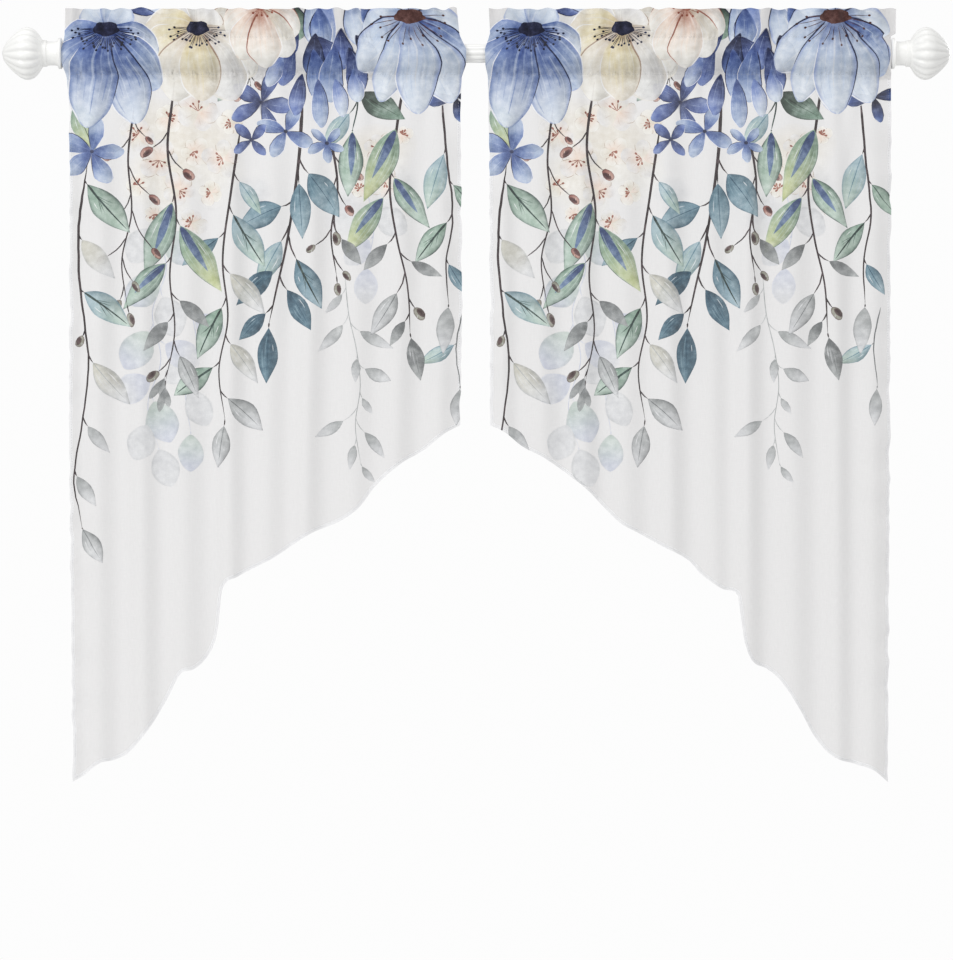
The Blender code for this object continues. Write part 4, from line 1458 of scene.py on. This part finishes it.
def stitch_tree():
    """Sets short threads end to end along lines of points."""
    tree, given = new_tree("running_stitch", {
        "Pitch": "Float", "Length": "Float", "Thickness": "Float", "Finish": "Material"})
    lines = node(tree, "GeometryNodeMeshToCurve", {"Mesh": given["Geometry"]})
    even = node(tree, "GeometryNodeResampleCurve", {"Curve": lines, "Length": given["Pitch"]},
                mode="LENGTH")
    thread = node(tree, "GeometryNodeMeshUVSphere", {"Segments": 6, "Rings": 4, "Radius": 0.5}, "Mesh")
    scale = node(tree, "ShaderNodeCombineXYZ",
                 {0: given["Thickness"], 1: given["Thickness"], 2: given["Length"]})
    tangent = node(tree, "GeometryNodeInputTangent")
    turn = node(tree, "FunctionNodeAlignRotationToVector", {"Vector": tangent}, axis="Z")
    sewn = node(tree, "GeometryNodeInstanceOnPoints",
                {"Points": even, "Instance": thread, "Rotation": turn, "Scale": scale})
    end_tree(tree, sewn, given["Finish"])
    return tree


def grow(name, tree, mesh, values):
    """Runs a geometry tree on a mesh and gives the result as a plain piece."""
    maker = placed(name + "_lines", mesh)
    modifier = maker.modifiers.new("tree", "NODES")
    modifier.node_group = tree
    for item in tree.interface.items_tree:
        if item.in_out == "INPUT" and item.name in values:
            modifier[item.identifier] = values[item.name]
    bpy.context.view_layer.update()
    grown = maker.evaluated_get(bpy.context.evaluated_depsgraph_get())
    made = placed(name, bpy.data.meshes.new_from_object(grown))
    made.data.name = name
    bpy.data.objects.remove(maker, do_unlink=True)
    if not made.data.polygons:
        raise RuntimeError(f"{name}: the tree made no faces")
    return made


def line_mesh(name, lines):
    """A mesh of open lines, each a list of points in metres."""
    points, edges = [], []
    for line in lines:
        first = len(points)
        points += [tuple(point) for point in line]
        edges += [(number, number + 1) for number in range(first, len(points) - 1)]
    mesh = bpy.data.meshes.new(name)
    mesh.from_pydata(points, edges, [])
    return mesh


def turning_line(name, profile):
    """A line along X with reach and lobed at each point; profile rows are (x, radius, lobed) in metres."""
    mesh = line_mesh(name, [[(x, 0.0, 0.0) for x, _, _ in profile]])
    for column, label in ((1, "reach"), (2, "lobed")):
        stored = mesh.attributes.new(label, "FLOAT", "POINT")
        stored.data.foreach_set("value", [row[column] for row in profile])
    return mesh


def stitch_lines(drape, hem_width):
    """The stitch lines of a panel just in front of the cloth (m): both pocket seams and the hem."""
    across = np.arange(STITCH_INSET, drape.width - STITCH_INSET, SEAM_STEP)
    lines = [(across, np.full(len(across), -height)) for height in (TOP_STITCH, BOTTOM_STITCH)]
    lines.append(drape.hem_route(HEM_SEAM * hem_width).T)
    return [(drape.place(p, q) + drape.normal(p, q) * STITCH_PROUD) * MM for p, q in lines]


# ------------------------------------------------------------------ operators


class VALANCE_OT_rod(bpy.types.Operator):
    """Turns the fluted rod and its two ball finials and paints them white"""

    bl_idname = "valance.rod"
    bl_label = "Turn Rod and Finials"

    def execute(self, context):
        rod = context.scene.valance_rod
        surface = paint_surface(context.scene.valance_colours)
        tree = turning_tree()
        half = rod.length / 2
        bar = [(x, rod.radius, 1.0) for x in np.linspace(-half, half, ROD_STEPS)]
        self.turn("painted_rod", "rod", tree, bar, (rod.rod_flutes, rod.rod_depth), surface)
        along = [row.along for row in FINIAL]
        spots = np.unique(np.r_[np.linspace(0, along[-1], BALL_STEPS), along])
        radius = flowing(spots, along, [row.radius for row in FINIAL])
        lobed = flowing(spots, along, [row.lobed for row in FINIAL])
        start = half + rod.seat_gap
        for side, sign in SIDES.items():
            ball = [(sign * (start + a * MM), r * MM, k) for a, r, k in zip(spots, radius, lobed)]
            fluting = (rod.ball_flutes, rod.ball_depth)
            self.turn(f"turned_finial_{side}", f"finial_{side}", tree, ball, fluting, surface)
        return {"FINISHED"}

    def turn(self, name, cad_node, tree, profile, fluting, surface):
        flutes, depth = fluting
        made = grow(name, tree, turning_line(name, sorted(profile)), {
            "Flutes": flutes, "Depth": depth, "Round Steps": flutes * STEPS_PER_FLUTE, "Finish": surface})
        made.data.set_sharp_from_angle(angle=math.radians(SHARP_EDGE))
        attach(made, BODY)
        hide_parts(cad_node)


class VALANCE_OT_panels(bpy.types.Operator):
    """Prints, hems and hangs the two voile panels"""

    bl_idname = "valance.panels"
    bl_label = "Hang Printed Panels"

    def execute(self, context):
        colours, cloth = context.scene.valance_colours, context.scene.valance_cloth
        layers = Print(seed=11).whole()
        surface = voile_surface(cloth)
        for side in SIDES:
            made = make_panel(f"voile_{side}", side, colours, cloth, layers, surface)
            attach(made, BODY)
            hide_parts(f"panel_{side}")
        return {"FINISHED"}


class VALANCE_OT_stitching(bpy.types.Operator):
    bl_idname = "valance.stitching"
    bl_label = "Sew Seams and Hems"

    def execute(self, context):
        cloth, sewing = context.scene.valance_cloth, context.scene.valance_stitching
        surface = thread_surface(context.scene.valance_colours)
        tree = stitch_tree()
        for side, sign in SIDES.items():
            panel = bpy.data.objects.get(f"voile_{side}")
            if panel is None:
                raise RuntimeError("hang the panels before sewing them")
            name = f"stitching_{side}"
            lines = stitch_lines(Drape(sign, CUTS[side]), cloth.hem_width / MM)
            made = grow(name, tree, line_mesh(name, lines), {
                "Pitch": sewing.pitch, "Length": sewing.length, "Thickness": sewing.thickness,
                "Finish": surface})
            made.data.shade_smooth()
            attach(made, BODY)
        return {"FINISHED"}


class VALANCE_OT_stage(bpy.types.Operator):
    """Sets the pale floor, the soft lights and the camera"""

    bl_idname = "valance.stage"
    bl_label = "Set Stage"

    def execute(self, context):
        stage, scene = context.scene.valance_stage, context.scene
        scene.view_settings.view_transform = "Standard"
        self.floor(stage.floor_drop)
        middle = Vector((0.0, 0.0, -stage.frame_drop))
        for lamp in LAMPS:
            self.light(lamp, middle * lamp.aim, getattr(stage, lamp.name))
        scene.world = bpy.data.worlds.new("even_light")
        scene.world.use_nodes = True
        tree = scene.world.node_tree
        seen = node(tree, "ShaderNodeLightPath", output="Is Camera Ray")
        feed(tree, tree.nodes["Background"], Color=(1.0, 1.0, 1.0, 1.0),
             Strength=seen * (BACKDROP - stage.sky) + stage.sky)
        camera = placed("camera", bpy.data.cameras.new("camera"))
        camera.data.lens = stage.lens
        camera.data.clip_end = 100.0
        distance = stage.frame_height * stage.lens / camera.data.sensor_width
        camera.location = middle + Vector((0.0, -distance, 0.0))
        camera.rotation_euler = (math.radians(90), 0.0, 0.0)
        scene.camera = camera
        return {"FINISHED"}

    def light(self, lamp, target, energy):
        data = bpy.data.lights.new(lamp.name, "AREA")
        data.shape = "DISK"
        data.size, data.energy = lamp.width, energy
        made = placed(lamp.name, data)
        made.location = lamp.place
        made.rotation_euler = (target - made.location).to_track_quat("-Z", "Y").to_euler()

    def floor(self, drop):
        made, tree, shader = new_surface("pale_floor")
        place = object_place(tree)
        cloud = noise(tree, place, 3.0, 3.0)
        colour = blend(tree, cloud, (0.92, 0.92, 0.92), (0.95, 0.95, 0.95))
        feed(tree, shader, Base_Color=colour, Roughness=0.7)
        turns = [2 * math.pi * step / FLOOR_STEPS for step in range(FLOOR_STEPS)]
        ring = [(FLOOR_RADIUS * math.cos(turn), FLOOR_RADIUS * math.sin(turn), -drop) for turn in turns]
        mesh = bpy.data.meshes.new("floor")
        mesh.from_pydata(ring, [], [list(range(FLOOR_STEPS))])
        mesh.materials.append(made)
        floor = placed("floor", mesh)


class VALANCE_PT_sidebar(bpy.types.Panel):
    """Sizes, colours and steps of the valance pair"""

    bl_idname = "VALANCE_PT_sidebar"
    bl_label = "Valance"
    bl_space_type = "VIEW_3D"
    bl_region_type = "UI"
    bl_category = "Valance"

    def draw(self, context):
        for operator, label in STEPS:
            self.layout.operator(operator.bl_idname)
            settings = getattr(context.scene, label)
            for name in settings.__annotations__:
                self.layout.prop(settings, name)
        for name in ValanceColours.__annotations__:
            self.layout.prop(context.scene.valance_colours, name)


GROUPS = {
    "valance_colours": ValanceColours,
    "valance_rod": ValanceRod,
    "valance_cloth": ValanceCloth,
    "valance_stitching": ValanceStitching,
    "valance_stage": ValanceStage,
}
STEPS = [
    (VALANCE_OT_rod, "valance_rod"),
    (VALANCE_OT_panels, "valance_cloth"),
    (VALANCE_OT_stitching, "valance_stitching"),
    (VALANCE_OT_stage, "valance_stage"),
]


def register():
    for label, group in GROUPS.items():
        bpy.utils.register_class(group)
        setattr(bpy.types.Scene, label, bpy.props.PointerProperty(type=group))
    for operator, _ in STEPS:
        bpy.utils.register_class(operator)
    bpy.utils.register_class(VALANCE_PT_sidebar)


def unregister():
    bpy.utils.unregister_class(VALANCE_PT_sidebar)
    for operator, _ in STEPS:
        bpy.utils.unregister_class(operator)
    for label, group in GROUPS.items():
        delattr(bpy.types.Scene, label)
        bpy.utils.unregister_class(group)


def main():
    register()
    bpy.ops.valance.rod()
    bpy.ops.valance.panels()
    bpy.ops.valance.stitching()
    bpy.ops.valance.stage()


if __name__ == "__main__":
    main()
